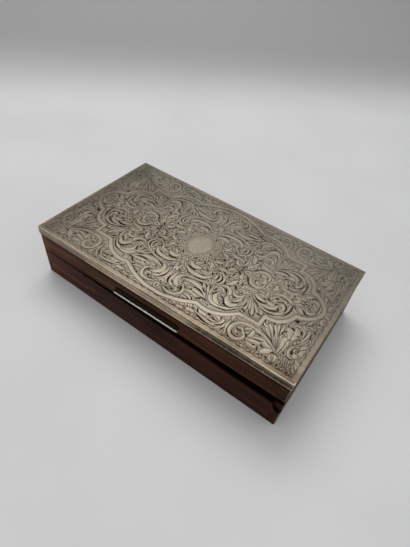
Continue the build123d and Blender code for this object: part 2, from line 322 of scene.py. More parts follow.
def swell(count, base, belly, tip, peak=0.5):
    """Half widths along a stroke: its base, its belly and its tip."""
    t = np.linspace(0, 1, count)
    rise = base + (belly - base) * np.sin(0.5 * pi * np.clip(t / peak, 0, 1))
    fall = tip + (belly - tip) * np.cos(0.5 * pi * np.clip((t - peak) / (1 - peak), 0, 1)) ** 0.9
    return np.where(t < peak, rise, fall)


def turned(origin, angle, length):
    """The point at an angle and a distance from another."""
    return np.array([origin[0] + length * cos(angle), origin[1] + length * sin(angle)])


def ribbons(plate, strokes, base=0.4, tip=0.45, peak=0.55):
    """Swelling strokes of scrolls and leaves, each shaded by a fine line along one side."""
    for half, *numbers in strokes:
        path = through(places(numbers))
        radii = swell(len(path), base * half, half, tip * half, peak)
        plate.leave(path, radii)
        vein = beside(path, 0.34 * radii)[2 : int(0.8 * len(path))]
        plate.cut(vein, np.linspace(0.12, 0.02, len(vein)), 0.55, 0.03)


def deep_cuts(plate, strokes):
    """Dark crescents that shade the leaves, or round cuts where a stroke has one point."""
    for width, *numbers in strokes:
        points = places(numbers)
        if len(points) == 1:
            plate.dot(points[0], 0.36 * width, 0.95, 0.04)
            continue
        path = through(points)
        plate.cut(path, swell(len(path), 0.06, 0.5 * width, 0.05), 1.0, 0.04)


def flame(plate, start, angle, length, turn, half):
    """A lobe that curls to one side like a flame, dark on its hollow side."""
    heading = angle + turn * np.linspace(0, 1, 9) ** 1.5
    steps = np.stack([np.cos(heading), np.sin(heading)], 1) * length / 8
    path = np.array(start, float) + np.vstack([[0, 0], np.cumsum(steps[:-1], 0)])
    radii = swell(9, 0.4 * half, half, 0.4 * half, 0.62)
    plate.leave(path, radii)
    side = 1 if turn > 0 else -1
    hollow = beside(path, side * (radii + 0.2))[1:8]
    plate.cut(hollow, swell(7, 0.05, 0.24, 0.04), 0.9)
    vein = beside(path, -side * 0.3 * radii)[:6]
    plate.cut(vein, np.linspace(0.1, 0.02, 6), 0.5, 0.03)


def rosette(plate, centre, radius, petals=5):
    """A small flower."""
    for i in range(petals):
        tip = turned(centre, 2 * pi * i / petals + centre[0], 0.58 * radius)
        plate.leave([tip, tip + 0.01], [0.4 * radius] * 2, 0.24)
    plate.dot(centre, 0.14 * radius)


# Strokes of the engraving. Each is a half width, or the full width of a dark cut, and then the places it
# passes, as distances to the right and to the front of the plate's middle.

# The frame: along the front, up to the shoulder, its square step, the shoulder and the end lobe
FRAME = (
    (0, 53.4, 8, 52.9, 18.6, 49.6, 26.2, 45.8, 29.4, 44.4),
    (29.4, 44.4, 35, 45.5, 41.6, 44.6, 47.6, 41.6, 52, 37.6, 54.8, 34.6),
    (54.8, 34.6, 68.6, 34.6, 68.6, 26.4, 71.8, 26.4),
    (71.8, 26.4, 76.8, 25, 80.6, 21.2, 82.8, 17, 83.8, 13.4),
    (83.8, 13.4, 88.4, 12, 93, 8.5, 96, 4, 97, 0),
)
SQUARE_STEP = 2

# The scroll beside the middle of the front, and the leaf that sweeps out of it
FRONT_SCROLLS = (
    (1.3, 0, 30.4, 0.4, 35, 1.2, 40, 3.4, 44),
    (0.9, 0, 46, 1.4, 48.2, 1.2, 50.4),
    (0.8, 2.6, 28.2, 1.6, 25.4, 2.4, 22.6),
    (0.8, 17.6, 42.6, 21, 42.8, 24.6, 44.6),
    (0.7, 15.4, 45.2, 19, 45.2, 22, 45.6),
    (1.2, 16.6, 40.4, 21, 39.2, 26.6, 40.6),
    (1.3, 14.4, 37, 20, 36.5, 26, 37.2, 31.4, 37.8),
    (0.7, 30, 26.6, 30.6, 29.6, 31.6, 33.2),
    (0.75, 26.8, 27.2, 28.2, 30, 30.4, 33.2),
    (0.8, 22.6, 27.8, 25.2, 29.8, 28.6, 33.2),
    (0.8, 16, 29.8, 21.4, 30.4, 26.6, 32.8, 30, 35.2),
    (1.5, 9.6, 32.8, 15, 31.6, 21, 32.2, 26, 33.8, 30, 36.4),
    (1.3, 4, 30.2, 3.5, 34, 4, 38.2, 6.2, 42, 9, 43.2),
    (1.7, 8.8, 30.2, 6.8, 32.6, 6.8, 36.2, 8.6, 39.4, 10.6, 40.8),
    (0.9, 12.4, 36, 14, 35.4, 15.6, 36.4),
    (1.15, 10, 37.8, 13.6, 37.8, 16.1, 40.8, 16.1, 44.6, 13.4, 47.8, 9, 48.7, 4.4, 47.4),
    (0.8, 8.4, 44.2, 10.8, 42.8, 12.7, 44.2, 12, 46.6),
)
FRONT_SCROLL_CUTS = (
    (1, 2, 33.6, 1.8, 37.6, 2.9, 41.1, 5.4, 43),
    (0.8, 4.4, 38.2, 5.6, 40, 7, 40.9),
    (1, 8.2, 34, 9.2, 31.7, 12, 30.5, 14.8, 29.9),
    (0.8, 11.3, 36.6, 11.5, 34.8, 12.8, 34),
    (1.2, 11.3, 39.1, 13.6, 40.2, 14.8, 42.6, 14.3, 45.2),
    (1, 11.8, 40.9, 13.6, 42.1),
    (2.4, 10, 45.2),
    (1, 3.8, 45.4, 6.5, 46.9, 9.5, 46.7),
    (1.1, 18.8, 35.2, 22, 34.3, 26, 35, 29, 36.4),
    (1.1, 19.2, 28.8, 22, 29, 23.6, 30.4),
    (1, 24.5, 31.6, 27, 33.2, 29.2, 34.6),
    (1.1, 24.6, 27.6, 25.8, 28.6, 27.2, 30.6),
    (0.7, 27.2, 26.4, 28.6, 27.6, 29.2, 30.2),
    (1.2, 26, 42.2, 27.6, 41.4, 29, 39.6, 31.5, 38.9, 33.8, 38.8),
    (1, 24.2, 42.5, 25.5, 44.6),
    (1.1, 22.4, 44.9, 23.6, 46),
    (0.8, 19.4, 46.4, 22.2, 46.5),
    (1.1, 17.4, 47, 18.7, 48.2),
    (0.7, 3.6, 48.2, 7, 50.2, 11.5, 50.6, 15.5, 49.3, 18, 47.6),
    (1, 19.4, 36.6, 20.4, 38),
    (0.7, 15, 38, 16.4, 39.4),
    (0.6, 22, 39, 24, 38.2),
    (1.1, 2.3, 27.2, 3.4, 28.3, 4.5, 28.7),
)

# The crescents round the cartouche, ending in a scroll
CRESCENTS = (
    (0.9, 3.6, 25.6, 8.5, 28.1, 16, 28.2, 23, 26.6, 27.4, 24, 31.2, 20.8, 31.6, 16.6, 28, 12.4, 23.4, 13),
    (1, 15.4, 21.9, 18.6, 20.2, 20.8, 17.4, 20, 14.7),
    (1.5, 4.6, 16.6, 9, 19.2, 14, 17.6),
    (1.5, 4.6, 21.7, 9, 24.2, 15, 24.8, 20.4, 23.4, 23.2, 20.2),
    (0.8, 24.6, 21.9, 26.2, 18.7, 25.4, 15.5),
    (0.8, 27.6, 22.5, 29.2, 18.3, 27.4, 14.2),
    (0.9, 16, 14.5, 18.6, 14.9, 21, 13),
)
CRESCENT_CUTS = (
    (0.8, 4.3, 22.4, 8.5, 25.8, 12, 26.8),
    (1.1, 11.6, 26.2, 16.5, 26.5, 20.5, 25.6, 23.6, 22.5),
    (1.3, 3.8, 19.5, 7, 21.1, 10.8, 21.5, 14.4, 19.9),
    (1, 14, 15.7, 14.5, 19.3),
    (1.3, 17.2, 15.3, 18.7, 17.2),
    (0.8, 16.2, 22.4, 19.6, 21.6),
    (1, 21.4, 15.5, 22.4, 17.2, 24.2, 18.7),
    (1, 26.6, 14.7, 27.6, 17.2, 27.2, 20),
    (1.2, 28.2, 13.9, 30.2, 16.8, 30.2, 20.4, 28.6, 23.4),
    (1.1, 23.2, 14.7, 24.6, 15.1),
    (1, 26.8, 10, 30.8, 11.9),
)

# The large round scroll, one leaf curled inside another
ROUND_SCROLL = (
    (0.9, 32.8, 27, 33.4, 24.4, 36, 23.8, 37.6, 26),
    (1.1, 32.6, 21.9, 36, 20.2, 39.6, 21.5, 41.6, 24.6, 40.8, 28),
    (1.1, 42, 20.4, 44.8, 23.1, 48.2, 22.3, 49.8, 19.1),
    (0.9, 46, 28.2, 48.6, 26, 50.2, 22.5),
    (1.7, 41.4, 27, 43, 30.6, 46.4, 32.4, 50, 29.2),
    (1.4, 31.8, 29.2, 32.4, 33.6, 35.8, 37.6, 40.6, 38.2, 46, 36.6, 50.2, 32.6),
    (1.4, 35.8, 28.2, 35.2, 32, 37.6, 35.2, 42, 36.6),
    (0.7, 51.8, 20.4, 52.2, 24.6, 51.2, 29.6),
)
ROUND_SCROLL_CUTS = (
    (1.1, 32, 32, 33.6, 30.8, 34.2, 28.6, 35.2, 28.4),
    (1.3, 34, 22.7, 37.6, 22.9, 40, 26.4),
    (1.7, 36.8, 27.2, 38.5, 29.6, 40.6, 30.8, 42, 33, 44, 34.6, 47, 34.6, 49.6, 32.8),
    (0.8, 38.5, 33.6, 41, 35.6, 44.5, 36.5),
    (1, 35.2, 40.2, 39, 40, 43, 39.2, 47, 37.8, 50.5, 34.2, 51.7, 31.8),
    (1.1, 43, 24.1, 45, 25.3, 46.7, 24),
    (1, 45.2, 30.2, 48, 29, 50.2, 25.9),
    (0.7, 51.3, 20, 51.1, 24.6),
    (0.8, 32.6, 25.8, 32.2, 29.2),
    (0.8, 35.4, 42.6, 36, 41.2),
)

# The upright leaf between the scrolls
PALMETTE = (
    (1, 35.2, 4.6, 35.6, 8, 34.8, 11.4),
    (1.7, 35, 18.3, 37.4, 15.5, 39.2, 11.4),
    (1, 39.6, 8, 41.4, 11.4, 41.2, 15.1),
    (0.9, 43.6, 10.6, 45.2, 13.6, 43.8, 16.6),
    (0.9, 42.2, 19.8, 44.6, 16.8, 47.8, 16.3, 49.6, 18.9, 48.6, 21.7),
    (0.8, 36.6, 19.2, 39, 19.5, 40.6, 18.3),
)
PALMETTE_CUTS = (
    (1.1, 32.7, 14.9, 33.2, 18.3, 34.2, 19.4, 37, 20.1),
    (1, 32.6, 11, 33.4, 14),
    (2.2, 40.5, 13.1),
    (1.2, 38.4, 17.2, 40.6, 16.1, 42, 17.8, 44.2, 18.9),
    (2, 47.3, 18.9),
    (1.1, 45.6, 20.4, 47.4, 21.5, 49, 20.2),
    (1.1, 43.2, 11, 44, 13.6),
    (1, 37, 18.1, 38, 20.4),
    (0.8, 34.2, 6, 33.6, 9.6),
)

# The scroll on the long axis, between the cartouche and the end lobe
MIDDLE_SCROLL = (
    (1.1, 32, 0.5, 35.4, 5, 39, 8.6, 44, 11.8, 50, 12.2, 54.4, 11),
    (1.2, 44, 1, 46.6, 6.6, 50.6, 8, 54.4, 6.6, 55.4, 2.4),
    (1, 48.4, 0, 50.4, 4.6, 52.8, 3.6),
    (0.9, 38, 0, 41, 1.6, 43.6, 0.4),
    (0.9, 56.6, 0, 58, 4, 61, 5.4),
    (0.8, 60.6, 0.6, 62.1, 3, 63.5, 3.4),
    (1.1, 21.6, 9.4, 26, 8.4, 30.6, 9.4),
    (0.9, 23.4, 0, 25.4, 2.4, 25, 5.4),
)
MIDDLE_SCROLL_CUTS = (
    (1.3, 40.4, 2.4, 43, 4.4, 44.8, 7.5, 48, 9.4, 52.8, 10.2),
    (1, 48.4, 5, 48.5, 3, 50.2, 1.8),
    (1.1, 34.2, 0, 37.9, 1.6),
    (1, 34.6, 1.7, 36.6, 4, 38.2, 7),
    (2.3, 26.7, 5.8),
    (1.2, 27, 3.6, 29.4, 4.3),
    (1.1, 28.3, 0.4, 30.6, 3.2),
    (2.4, 21.4, 0.4),
    (1.1, 19.7, 6.2, 21.3, 8.1),
    (1, 22.4, 5, 23.6, 7),
    (2, 53.7, 3.8),
    (1, 57.6, 0.4, 58.8, 2),
    (1.2, 56.6, 8.2, 59.6, 7.2),
    (1.9, 55.8, 10.8),
    (1, 21.2, 10.6, 24, 11.4, 26, 10.8),
)

# The crescents near the shoulder of the frame, one inside the other
SHOULDER = (
    (0.75, 63.3, 5.8, 63.1, 9.4),
    (0.8, 65.4, 6.4, 66.2, 10.6),
    (1.2, 64.4, 5.6, 66.7, 3.4, 70.5, 2.4, 74.7, 3.6, 77.5, 6.4),
    (1.1, 67.7, 9, 70, 6.3, 73, 6.8, 75.4, 9),
    (0.95, 54.4, 16.1, 59.4, 19.1, 63.9, 21.3, 68.6, 22.1, 73, 20.5, 76, 16.8, 77.7, 12, 76.9, 7.4),
    (0.9, 56, 12.2, 59.6, 11.4, 62.7, 12.4),
    (1.2, 54.6, 13.4, 58.6, 15.3, 63.1, 15.7),
    (1.2, 73.9, 17.2, 74.9, 13.4, 73.4, 10.7, 71.7, 12.4),
    (1.3, 58, 18.5, 62.9, 18.9, 67.7, 18.5, 70.9, 15.9, 70.2, 12.6),
    (1.4, 63.5, 13.6, 66.7, 15.3, 69.2, 14.7),
    (1, 66.4, 12.4, 67.7, 10.4, 68.6, 8.4),
)
SHOULDER_CUTS = (
    (1, 52.8, 15.3, 55.6, 18.3, 59, 20.4, 63.3, 22.4),
    (1.1, 65.4, 23, 68.6, 23.4, 71.9, 22.4, 74.1, 21.5),
    (1.2, 78, 6.2, 79, 9.6, 79, 13.5, 78, 17.2, 76.4, 20),
    (1.3, 62.5, 20.3, 66.7, 20.7, 70.4, 19.5, 72.8, 17.6, 73.6, 15.3),
    (1.2, 76.5, 17.2, 76.4, 13, 74.9, 10, 72.6, 8.7),
    (1.6, 55.4, 15.3, 58, 17.1, 61.9, 17.6, 65, 16.2),
    (1, 60.3, 13.4, 62.5, 14),
    (1.3, 63, 10.6, 63.9, 12.4, 66, 13.5),
    (2, 69.9, 13),
    (1.1, 69.5, 11, 70.8, 9.4, 73.4, 8),
    (1.4, 71.7, 14.7, 72.4, 17.2),
    (1.1, 67.5, 4.6, 69.6, 5.1, 73, 5.4, 75.2, 6.2),
    (1.9, 67.5, 6.6, 68.3, 9),
    (0.8, 66.2, 0, 67.7, 1.2, 70.5, 1.6),
    (1, 75.6, 0, 76, 3),
)

# What fills the end lobe of the frame
END_LOBE = (
    (1.1, 79, 4, 82.3, 2.9, 86.1, 0.9),
    (1.4, 82.5, 5.6, 84, 7.4, 86.5, 9.2),
    (1.2, 86.5, 3.4, 88.9, 6.2, 92, 4.6, 92.6, 1),
    (0.9, 79.5, 6.6, 80.8, 9.6, 83.1, 11.6),
    (0.8, 88.7, 0, 89.9, 2.2, 91.2, 2),
    (0.8, 92.6, 6.6, 94.1, 3.4, 94.3, 0),
)
END_LOBE_CUTS = (
    (1.4, 84, 4.8, 86.1, 7, 87.6, 8.4, 90.4, 8.1),
    (1.9, 87.9, 2.7),
    (1.1, 80.6, 2.2, 83.6, 1.5, 84.8, 3.4),
    (1, 78.5, 5.4, 79.7, 7.6, 82, 8.9),
    (0.8, 84, 0, 87.2, 0.4),
    (0.7, 92.9, 1, 93.1, 4.4),
)

# The feathers that spread towards the step of the frame, inside it
STEP_FAN = (
    (0.65, 52.6, 18.7, 53.2, 23.1, 52.6, 27.6),
    (0.75, 53.4, 17.8, 54.8, 24, 55.6, 29.4),
    (0.9, 63.5, 23.4, 65.2, 25, 65.8, 26.8),
    (0.8, 55.4, 18.7, 60, 23.1, 62.9, 27),
    (0.9, 54.4, 17.6, 58.6, 24.2, 61.2, 30.4),
    (0.8, 53.8, 17.4, 56.6, 24, 58, 30.2),
)
STEP_FAN_CUTS = (
    (1.3, 52.2, 30.6, 55.4, 30.5, 56.8, 32.2),
    (0.7, 52, 32.2, 56, 32.9),
    (1, 53.6, 22.5, 54.2, 25.6, 53.6, 28.2),
    (0.8, 59, 23.8, 61, 26.1, 62, 29.2),
    (0.8, 57, 27.2, 58.6, 30, 60.6, 31.6, 61.8, 32.5),
    (1.1, 62.4, 27.6, 66.6, 28.2),
    (0.7, 62.1, 29.1, 62.2, 32.2),
    (0.7, 67, 24.6, 67, 32.4),
    (0.7, 62.9, 22.1, 67.7, 24),
)

# The corner outside the frame: a spray of feathers, and a stem to a scroll on each side
CORNER_FEATHERS = (
    (1.25, 86.5, 44.6, 81.8, 39.6, 76.2, 35.2, 71.7, 31.6),
    (0.95, 86.5, 44.6, 82.3, 38.6, 78.4, 34, 74.5, 30.2),
    (0.85, 86.5, 44.6, 83.1, 37.6, 80.3, 32.6, 77.3, 28.6),
    (0.85, 86.5, 44.6, 84.2, 37, 81.8, 31.6, 79.3, 27.2),
    (0.8, 86.5, 44.6, 85.1, 37, 83.1, 31.2, 82.1, 27),
    (1, 88.4, 45.6, 89.3, 40.6, 89.7, 36.6, 88.7, 33.6),
    (1.5, 87, 45.2, 87.3, 39.6, 86.8, 35.6, 87.4, 32.2),
)
CORNER_STEMS = (
    (0.9, 84, 22.7, 87, 20.2, 91.2, 19.5, 93.9, 21.9, 94.5, 26),
    (1.3, 95.1, 16.8, 96.8, 21.5, 96.6, 26.6, 93.7, 31.6),
    (2.2, 84.4, 25.2, 87, 27.2, 88.7, 31.6),
    (1.9, 88.7, 21.9, 91, 26.2, 90.6, 31.6),
    (
        0.85, 99, 14, 98.9, 22.5, 96.6, 30.6, 93.1, 36.6, 92.4, 40.6, 94.1, 44.2, 97.2, 44.2, 98.6, 41.4,
        96.8, 39,
    ),
    (1.7, 97, 42.2, 96, 41.2),
    (0.8, 94.1, 35.2, 96.2, 34, 98.4, 36),
    (0.8, 99, 27.6, 98.4, 30.6, 96.8, 32.2),
    (
        1.3, 85.5, 45.2, 80.8, 42.2, 76.2, 40, 69.6, 38.9, 63.3, 39, 58.8, 41.2, 56.9, 45.6, 58, 50.2,
        61.9, 52.7, 65.6, 50.8, 66.2, 47.2, 63.3, 43.8, 60.2, 44,
    ),
    (1, 60.2, 46.8, 61.5, 48.2),
    (1.2, 85.1, 46.4, 79.9, 44.8, 75.2, 43.4, 70.5, 44.8),
    (1.9, 84, 46.6, 81.2, 49, 79.9, 51),
    (1.3, 78, 47.2, 74.3, 46.8, 70.2, 47.8),
    (1.3, 76.7, 50.2, 72.8, 50.8, 69.2, 50.4),
    (0.9, 79, 52.1, 77.7, 53),
    (0.9, 85, 49, 85.1, 51.6, 86.5, 53.3),
    (1.1, 86.8, 48.2, 88.5, 50.2, 88, 52.4),
)
CORNER_CUTS = (
    (1.4, 70, 30.2, 71.3, 29.1),
    (0.7, 70, 31.2, 70.5, 32.8, 72.4, 33.6, 75.2, 33.6),
    (0.8, 70.2, 35.2, 72.4, 36.6, 76.2, 38.1, 80.8, 40.6, 84.6, 44.1),
    (0.6, 74.8, 33.6, 77.6, 35.6, 80.4, 39.1, 83.2, 42.6),
    (0.8, 75.8, 28.2, 77.6, 31.1, 79.4, 34.2, 81.3, 38.1),
    (0.6, 80.3, 26.3, 81, 28.6, 82.1, 32, 83.1, 36.6),
    (1.1, 83.5, 33.6, 83.6, 30.6, 84, 29, 85.7, 27.5),
    (1.1, 75, 27.9, 77.5, 27.3),
    (1.1, 79.3, 25.9, 81.4, 24.5),
    (1, 82.7, 23.7, 85.1, 24),
    (1.3, 85.5, 23.4, 88.7, 24.3),
    (1.1, 92.2, 21, 92.5, 23.6, 93.9, 24.7),
    (1.6, 92.1, 27.2),
    (0.9, 93.7, 28.6, 95.1, 29.5),
    (1.1, 91.2, 34, 92.6, 34.7, 93.5, 32.6),
    (1.3, 94.1, 38, 94.1, 40.6, 95.5, 41.9),
    (1.1, 96, 36.2, 97.6, 38, 99.2, 39.4),
    (0.9, 90.3, 42, 90.3, 45.2),
    (0.7, 91.6, 44.6, 95.1, 45.3, 97.4, 43.9),
    (0.8, 56, 41.6, 55.2, 45.6, 56, 50.2, 59, 53.4, 61.9, 54.1, 66.6, 53.8),
    (0.8, 58, 47.8, 59.5, 50.2, 61.9, 50.8, 64.1, 50.2),
    (0.9, 59.2, 44.5, 60.8, 45.8, 62.5, 45.4, 63.2, 46.8),
    (2.1, 63.1, 48.7),
    (1.1, 63.3, 41.8, 64.4, 43.6, 65.8, 44.8, 67.3, 46.6, 68.1, 47.8),
    (1.4, 68.2, 49.4),
    (1.1, 69.8, 41.6, 72.4, 41, 75.1, 41.3),
    (0.7, 70.9, 45.3, 73.4, 45.1, 76.2, 44.3, 78.2, 43.6),
    (1.3, 76.5, 46.1, 78, 47.2, 79.8, 47),
    (1.1, 72.8, 49.5, 74.9, 49),
    (0.9, 76.1, 48, 76.4, 50.1, 77.7, 52.1),
    (1.1, 66.9, 53.3, 69.2, 53.3),
    (1, 71.7, 53.1, 73.7, 53.5),
    (1.1, 74.7, 53.8, 76.1, 52.4),
    (1.1, 78.8, 52.4, 79.8, 53.9),
    (0.9, 80.6, 51.9, 81.3, 53.5),
    (1.1, 82.6, 51.4, 83.5, 53, 84, 54.2),
    (1.1, 84, 48.3, 85.5, 47.4, 89.1, 47.4),
    (0.9, 86.6, 54.3, 89.1, 53.8),
    (1.8, 90.8, 53.6),
    (2, 97.4, 54.6),
    (1.6, 98.4, 50.6),
    (1.6, 98.2, 46),
    (1, 92.6, 54.7, 94.1, 54.7),
    (2.5, 84.5, 18.3, 86.5, 16.6, 88.9, 15.5),
    (1.3, 91.2, 17.4, 91.3, 14.5, 93.1, 15.1, 95.5, 13, 96.6, 10.8),
    (2.1, 97.9, 5.4),
    (0.9, 97.4, 20.8, 99.1, 25.4),
    (0.8, 97.8, 17, 99.6, 19.1),
    (1.4, 98.4, 9, 99, 11.6),
)

# The leaf outside the frame along the front edge, curled at its end
FRONT_EDGE = (
    (1.2, 29.4, 46.8, 33.4, 48.6, 38, 49.2, 42.4, 49.2),
    (1.1, 32, 50, 36, 51.2, 41.4, 52.4, 46, 52.6, 49.6, 50.2, 50.9, 46.6, 49.2, 43.8),
    (0.9, 40.6, 49.8, 44.6, 50.4, 48.2, 48.6),
    (1.3, 24, 52.8, 28.4, 51.4, 33, 52.1),
    (0.9, 19, 54.2, 23, 53.3, 26.6, 53.8),
    (0.8, 35.4, 54, 38, 54.5, 41, 54.5),
    (0.9, 54, 42.2, 54.2, 46.6, 55.6, 50.6, 56.4, 54.2),
    (0.8, 52.4, 45.6, 52.9, 50, 52, 54.2),
    (0.8, 48.6, 54.2, 50.6, 52.8, 51.4, 50.6),
)
FRONT_EDGE_CUTS = (
    (1.1, 32.3, 47.4, 33.5, 49.2, 34.8, 50.6),
    (1.2, 34, 52.1, 36, 52.6, 39, 53.5, 41.5, 53.9, 45.4, 53.8),
    (1.1, 42.1, 51.1, 46.2, 51.5),
    (2.5, 48.4, 45.2),
    (1.1, 47.4, 52.3, 51, 49.6, 52.3, 45.4),
    (1, 29.6, 52.6, 31.2, 54.3),
    (1.2, 43, 47.2, 45, 48.8, 48.6, 48.8),
    (1.6, 39.8, 47.6, 42.2, 47.1),
    (1, 52.8, 54, 53.4, 50.2),
    (0.8, 26.6, 51.7, 25.4, 54.3),
    (1.1, 28, 49.8, 31, 49.2),
    (0.7, 35, 53.6, 35.4, 55),
)

# Between the little flowers round the cartouche
FLOWER_CUTS = (
    (1, 1, 9.4, 2, 11.6),
    (1, 11.2, 2.2, 11.9, 4.2),
    (1, 11.5, 10.7, 13.5, 12.5),
    (0.9, 8.5, 12.3, 10.2, 13.7),
    (0.9, 13.4, 7.6, 13.7, 9.4),
    (0.9, 6.4, 11.4, 5, 13.8),
    (0.8, 15.8, 3, 16.2, 5.4),
)

# The plain places between the scrolls and the frame, each with its half width and its slant
HATCHED = (
    (1.3, 0.6, 32, 42.2, 38, 42.2, 44, 40.8, 49, 37.8, 52.4, 34),
    (0.9, 0.6, 56.6, 38.4, 62.6, 37.8, 68.4, 38),
    (1.3, -0.6, 71.6, 24.6, 76, 22.4, 79.4, 18.2, 80.8, 12.8),
    (1, 0.6, 67, 24.8, 70, 24.4),
    (0.4, 0.6, 3, 50, 10, 50.2, 15.4, 48.8),
    (1.6, 0.6, 64.2, 30.4, 65.2, 30.4),
)


def strap(plate):
    """The strap of the frame: a plain band between two dark lines."""
    half = STRAP_HALF
    parts = [places(p) if i == SQUARE_STEP else through(places(p)) for i, p in enumerate(FRAME)]
    path = np.vstack(parts)
    plate.leave(path, np.full(len(path), half), 0.34)
    at, gap = plate.gap_to(path, np.zeros(len(path)), 2.0)
    brushed = 0.14 * wave(plate.gx + 0.3 * plate.gy, 1.3)[at]
    plate.tarnish[at] += ease(half, half - 0.3, gap) * brushed
    inner = ease(0.14, 0.02, np.abs(gap - half + 0.42)) * (gap < half)
    np.maximum(plate.tarnish[at], 0.5 * inner, out=plate.tarnish[at])


def corner(plate):
    """The corner's feathers and stems, and a ring of little flowers at their foot."""
    ribbons(plate, CORNER_FEATHERS, 0.25, 0.75, 0.82)
    ribbons(plate, CORNER_STEMS)
    middle, ring = (92.6, -49.6), 2.7
    for i in range(5):
        rosette(plate, turned(middle, 1.26 * i, ring), 1.5, 4)
    rosette(plate, middle, 1.2, 4)
    rosette(plate, (97, -52.6), 1.5)
    rosette(plate, (98, -47.4), 1.2)
    deep_cuts(plate, CORNER_CUTS)


def flowers(plate):
    """Two rings of little flowers round the cartouche."""
    for reach, count in FLOWER_RINGS:
        for i in range(count):
            a = radians(-90 + 90 * i / (count - 1))
            rosette(plate, (reach * cos(a), 1.02 * reach * sin(a)), 1.9)
    deep_cuts(plate, FLOWER_CUTS)


def away_from(taken, steps):
    """Where nothing is taken within some steps of the grid."""
    near = taken.copy()
    for _ in range(steps):
        wider = near.copy()
        wider[1:] |= near[:-1]
        wider[:-1] |= near[1:]
        wider[:, 1:] |= near[:, :-1]
        wider[:, :-1] |= near[:, 1:]
        near = wider
    return ~near


def fill(plate, seed):
    """Small curled leaves in the ground that is left, in the largest spaces first."""
    rng = np.random.default_rng(seed)
    inside = (plate.gx < LEAF_END) & (plate.gy > LEAF_FRONT)
    inside &= np.hypot(plate.gx / CLEARING[0], plate.gy / CLEARING[1]) > 1
    for steps, size, most in SMALL_LEAVES:
        for _ in range(most):
            free = np.argwhere(away_from(plate.taken, steps) & inside)
            if not len(free):
                break
            j, i = free[rng.integers(len(free))]
            at = np.array([plate.x[i], plate.y[j]])
            a = 2.4 * sin(at[0] / 9.0) + 2.0 * cos(at[1] / 7.0) + rng.uniform(-0.4, 0.4)
            curl = rng.choice([-1, 1])
            flame(plate, turned(at, a, -0.5 * size), a - 0.6 * curl, size, 1.5 * curl, 0.2 * size)


def shade(plate):
    """Fine lines in the ground and over the leaves, and painted shade: every leaf a little darker on the
    sides that slope down towards the plate's edges, standing in also for the engraver's shading there.
    """
    lines = np.cos(2 * pi * (plate.gy + 0.35 * plate.gx) / 0.95)
    ground = ~plate.taken
    plate.tarnish[ground] += 0.2 * lines[ground]
    soft = plate.height.copy()
    for _ in range(2):
        around = soft[:-2, 1:-1] + soft[2:, 1:-1] + soft[1:-1, :-2] + soft[1:-1, 2:]
        soft[1:-1, 1:-1] = 0.25 * around
    shade_side = np.gradient(soft, axis=0) - 0.6 * np.gradient(soft, axis=1)
    plate.tarnish += 0.24 * np.clip(shade_side / 0.012, -0.4, 1.0) * (plate.tarnish < 0.6)
    bend = 1.2 * np.sin(plate.gx / 4.1) * np.cos(plate.gy / 3.7)
    fine = wave(plate.gx - 0.5 * plate.gy + bend, 1.15)
    plate.tarnish += 0.17 * fine**2 * (plate.tarnish < 0.3)


def cartouche(plate):
    """The blank cartouche in the middle, with fine rays and a scalloped line round it."""
    power = CARTOUCHE_POWER
    angle = np.arctan2(plate.gy, plate.gx)
    reach = np.abs(plate.gx / CARTOUCHE_X) ** power + np.abs(plate.gy / CARTOUCHE_Y) ** power
    reach = reach ** (1 / power) - 1
    rays = 0.5 + 0.5 * np.cos(72 * angle)
    around = ease(0.40, 0.34, reach)
    plain = ease(0.05, 0.0, reach)
    scallop = ease(0.05, 0.02, np.abs(reach - 0.24 - 0.04 * np.cos(24 * angle)))
    plate.height += around * (GROUND * 0.6 * rays - plate.height)
    plate.tarnish += around * (0.16 + 0.22 * rays + 0.4 * scallop - plate.tarnish)
    plate.height *= 1 - plain
    plate.tarnish += plain * (0.24 - plate.tarnish)
    plate.taken |= reach < 0.4
    for at in (0.03, 0.12, 0.37):
        line = ease(0.032, 0.008, np.abs(reach - at))
        np.maximum(plate.tarnish, 0.6 * line, out=plate.tarnish)
        plate.height -= 0.04 * line


def border(plate):
    """The border: a plain strip along the edge, a waved line and fine straight ones."""
    from_end, from_front = plate.x[-1] - plate.gx, plate.gy - plate.y[0]
    edge = np.minimum(from_end, from_front)
    along = np.where(from_end < from_front, plate.gy, plate.gx)
    band = ease(BORDER_WIDTH, BORDER_WIDTH - 0.3, edge)
    end = ease(0.5, -0.5, from_end - from_front)
    plate.height *= 1 - band
    plate.tarnish += band * (0.2 - 0.01 * end - plate.tarnish)
    waved = 2.85 + 0.2 * np.sin(2 * pi * along / 6.2) + 0.1 * np.sin(2 * pi * along / 2.1)
    thick = 0.28 + 0.1 * np.cos(2 * pi * along / 6.2)
    for place, half, dark in ((waved, thick, 0.9), (1.95, 0.06, 0.5), (1.0, 0.04, 0.4)):
        line = ease(0.16, -0.04, np.abs(edge - place) - half)
        np.maximum(plate.tarnish, dark * (1 - 0.15 * end) * line, out=plate.tarnish)
        plate.height -= 0.025 * line


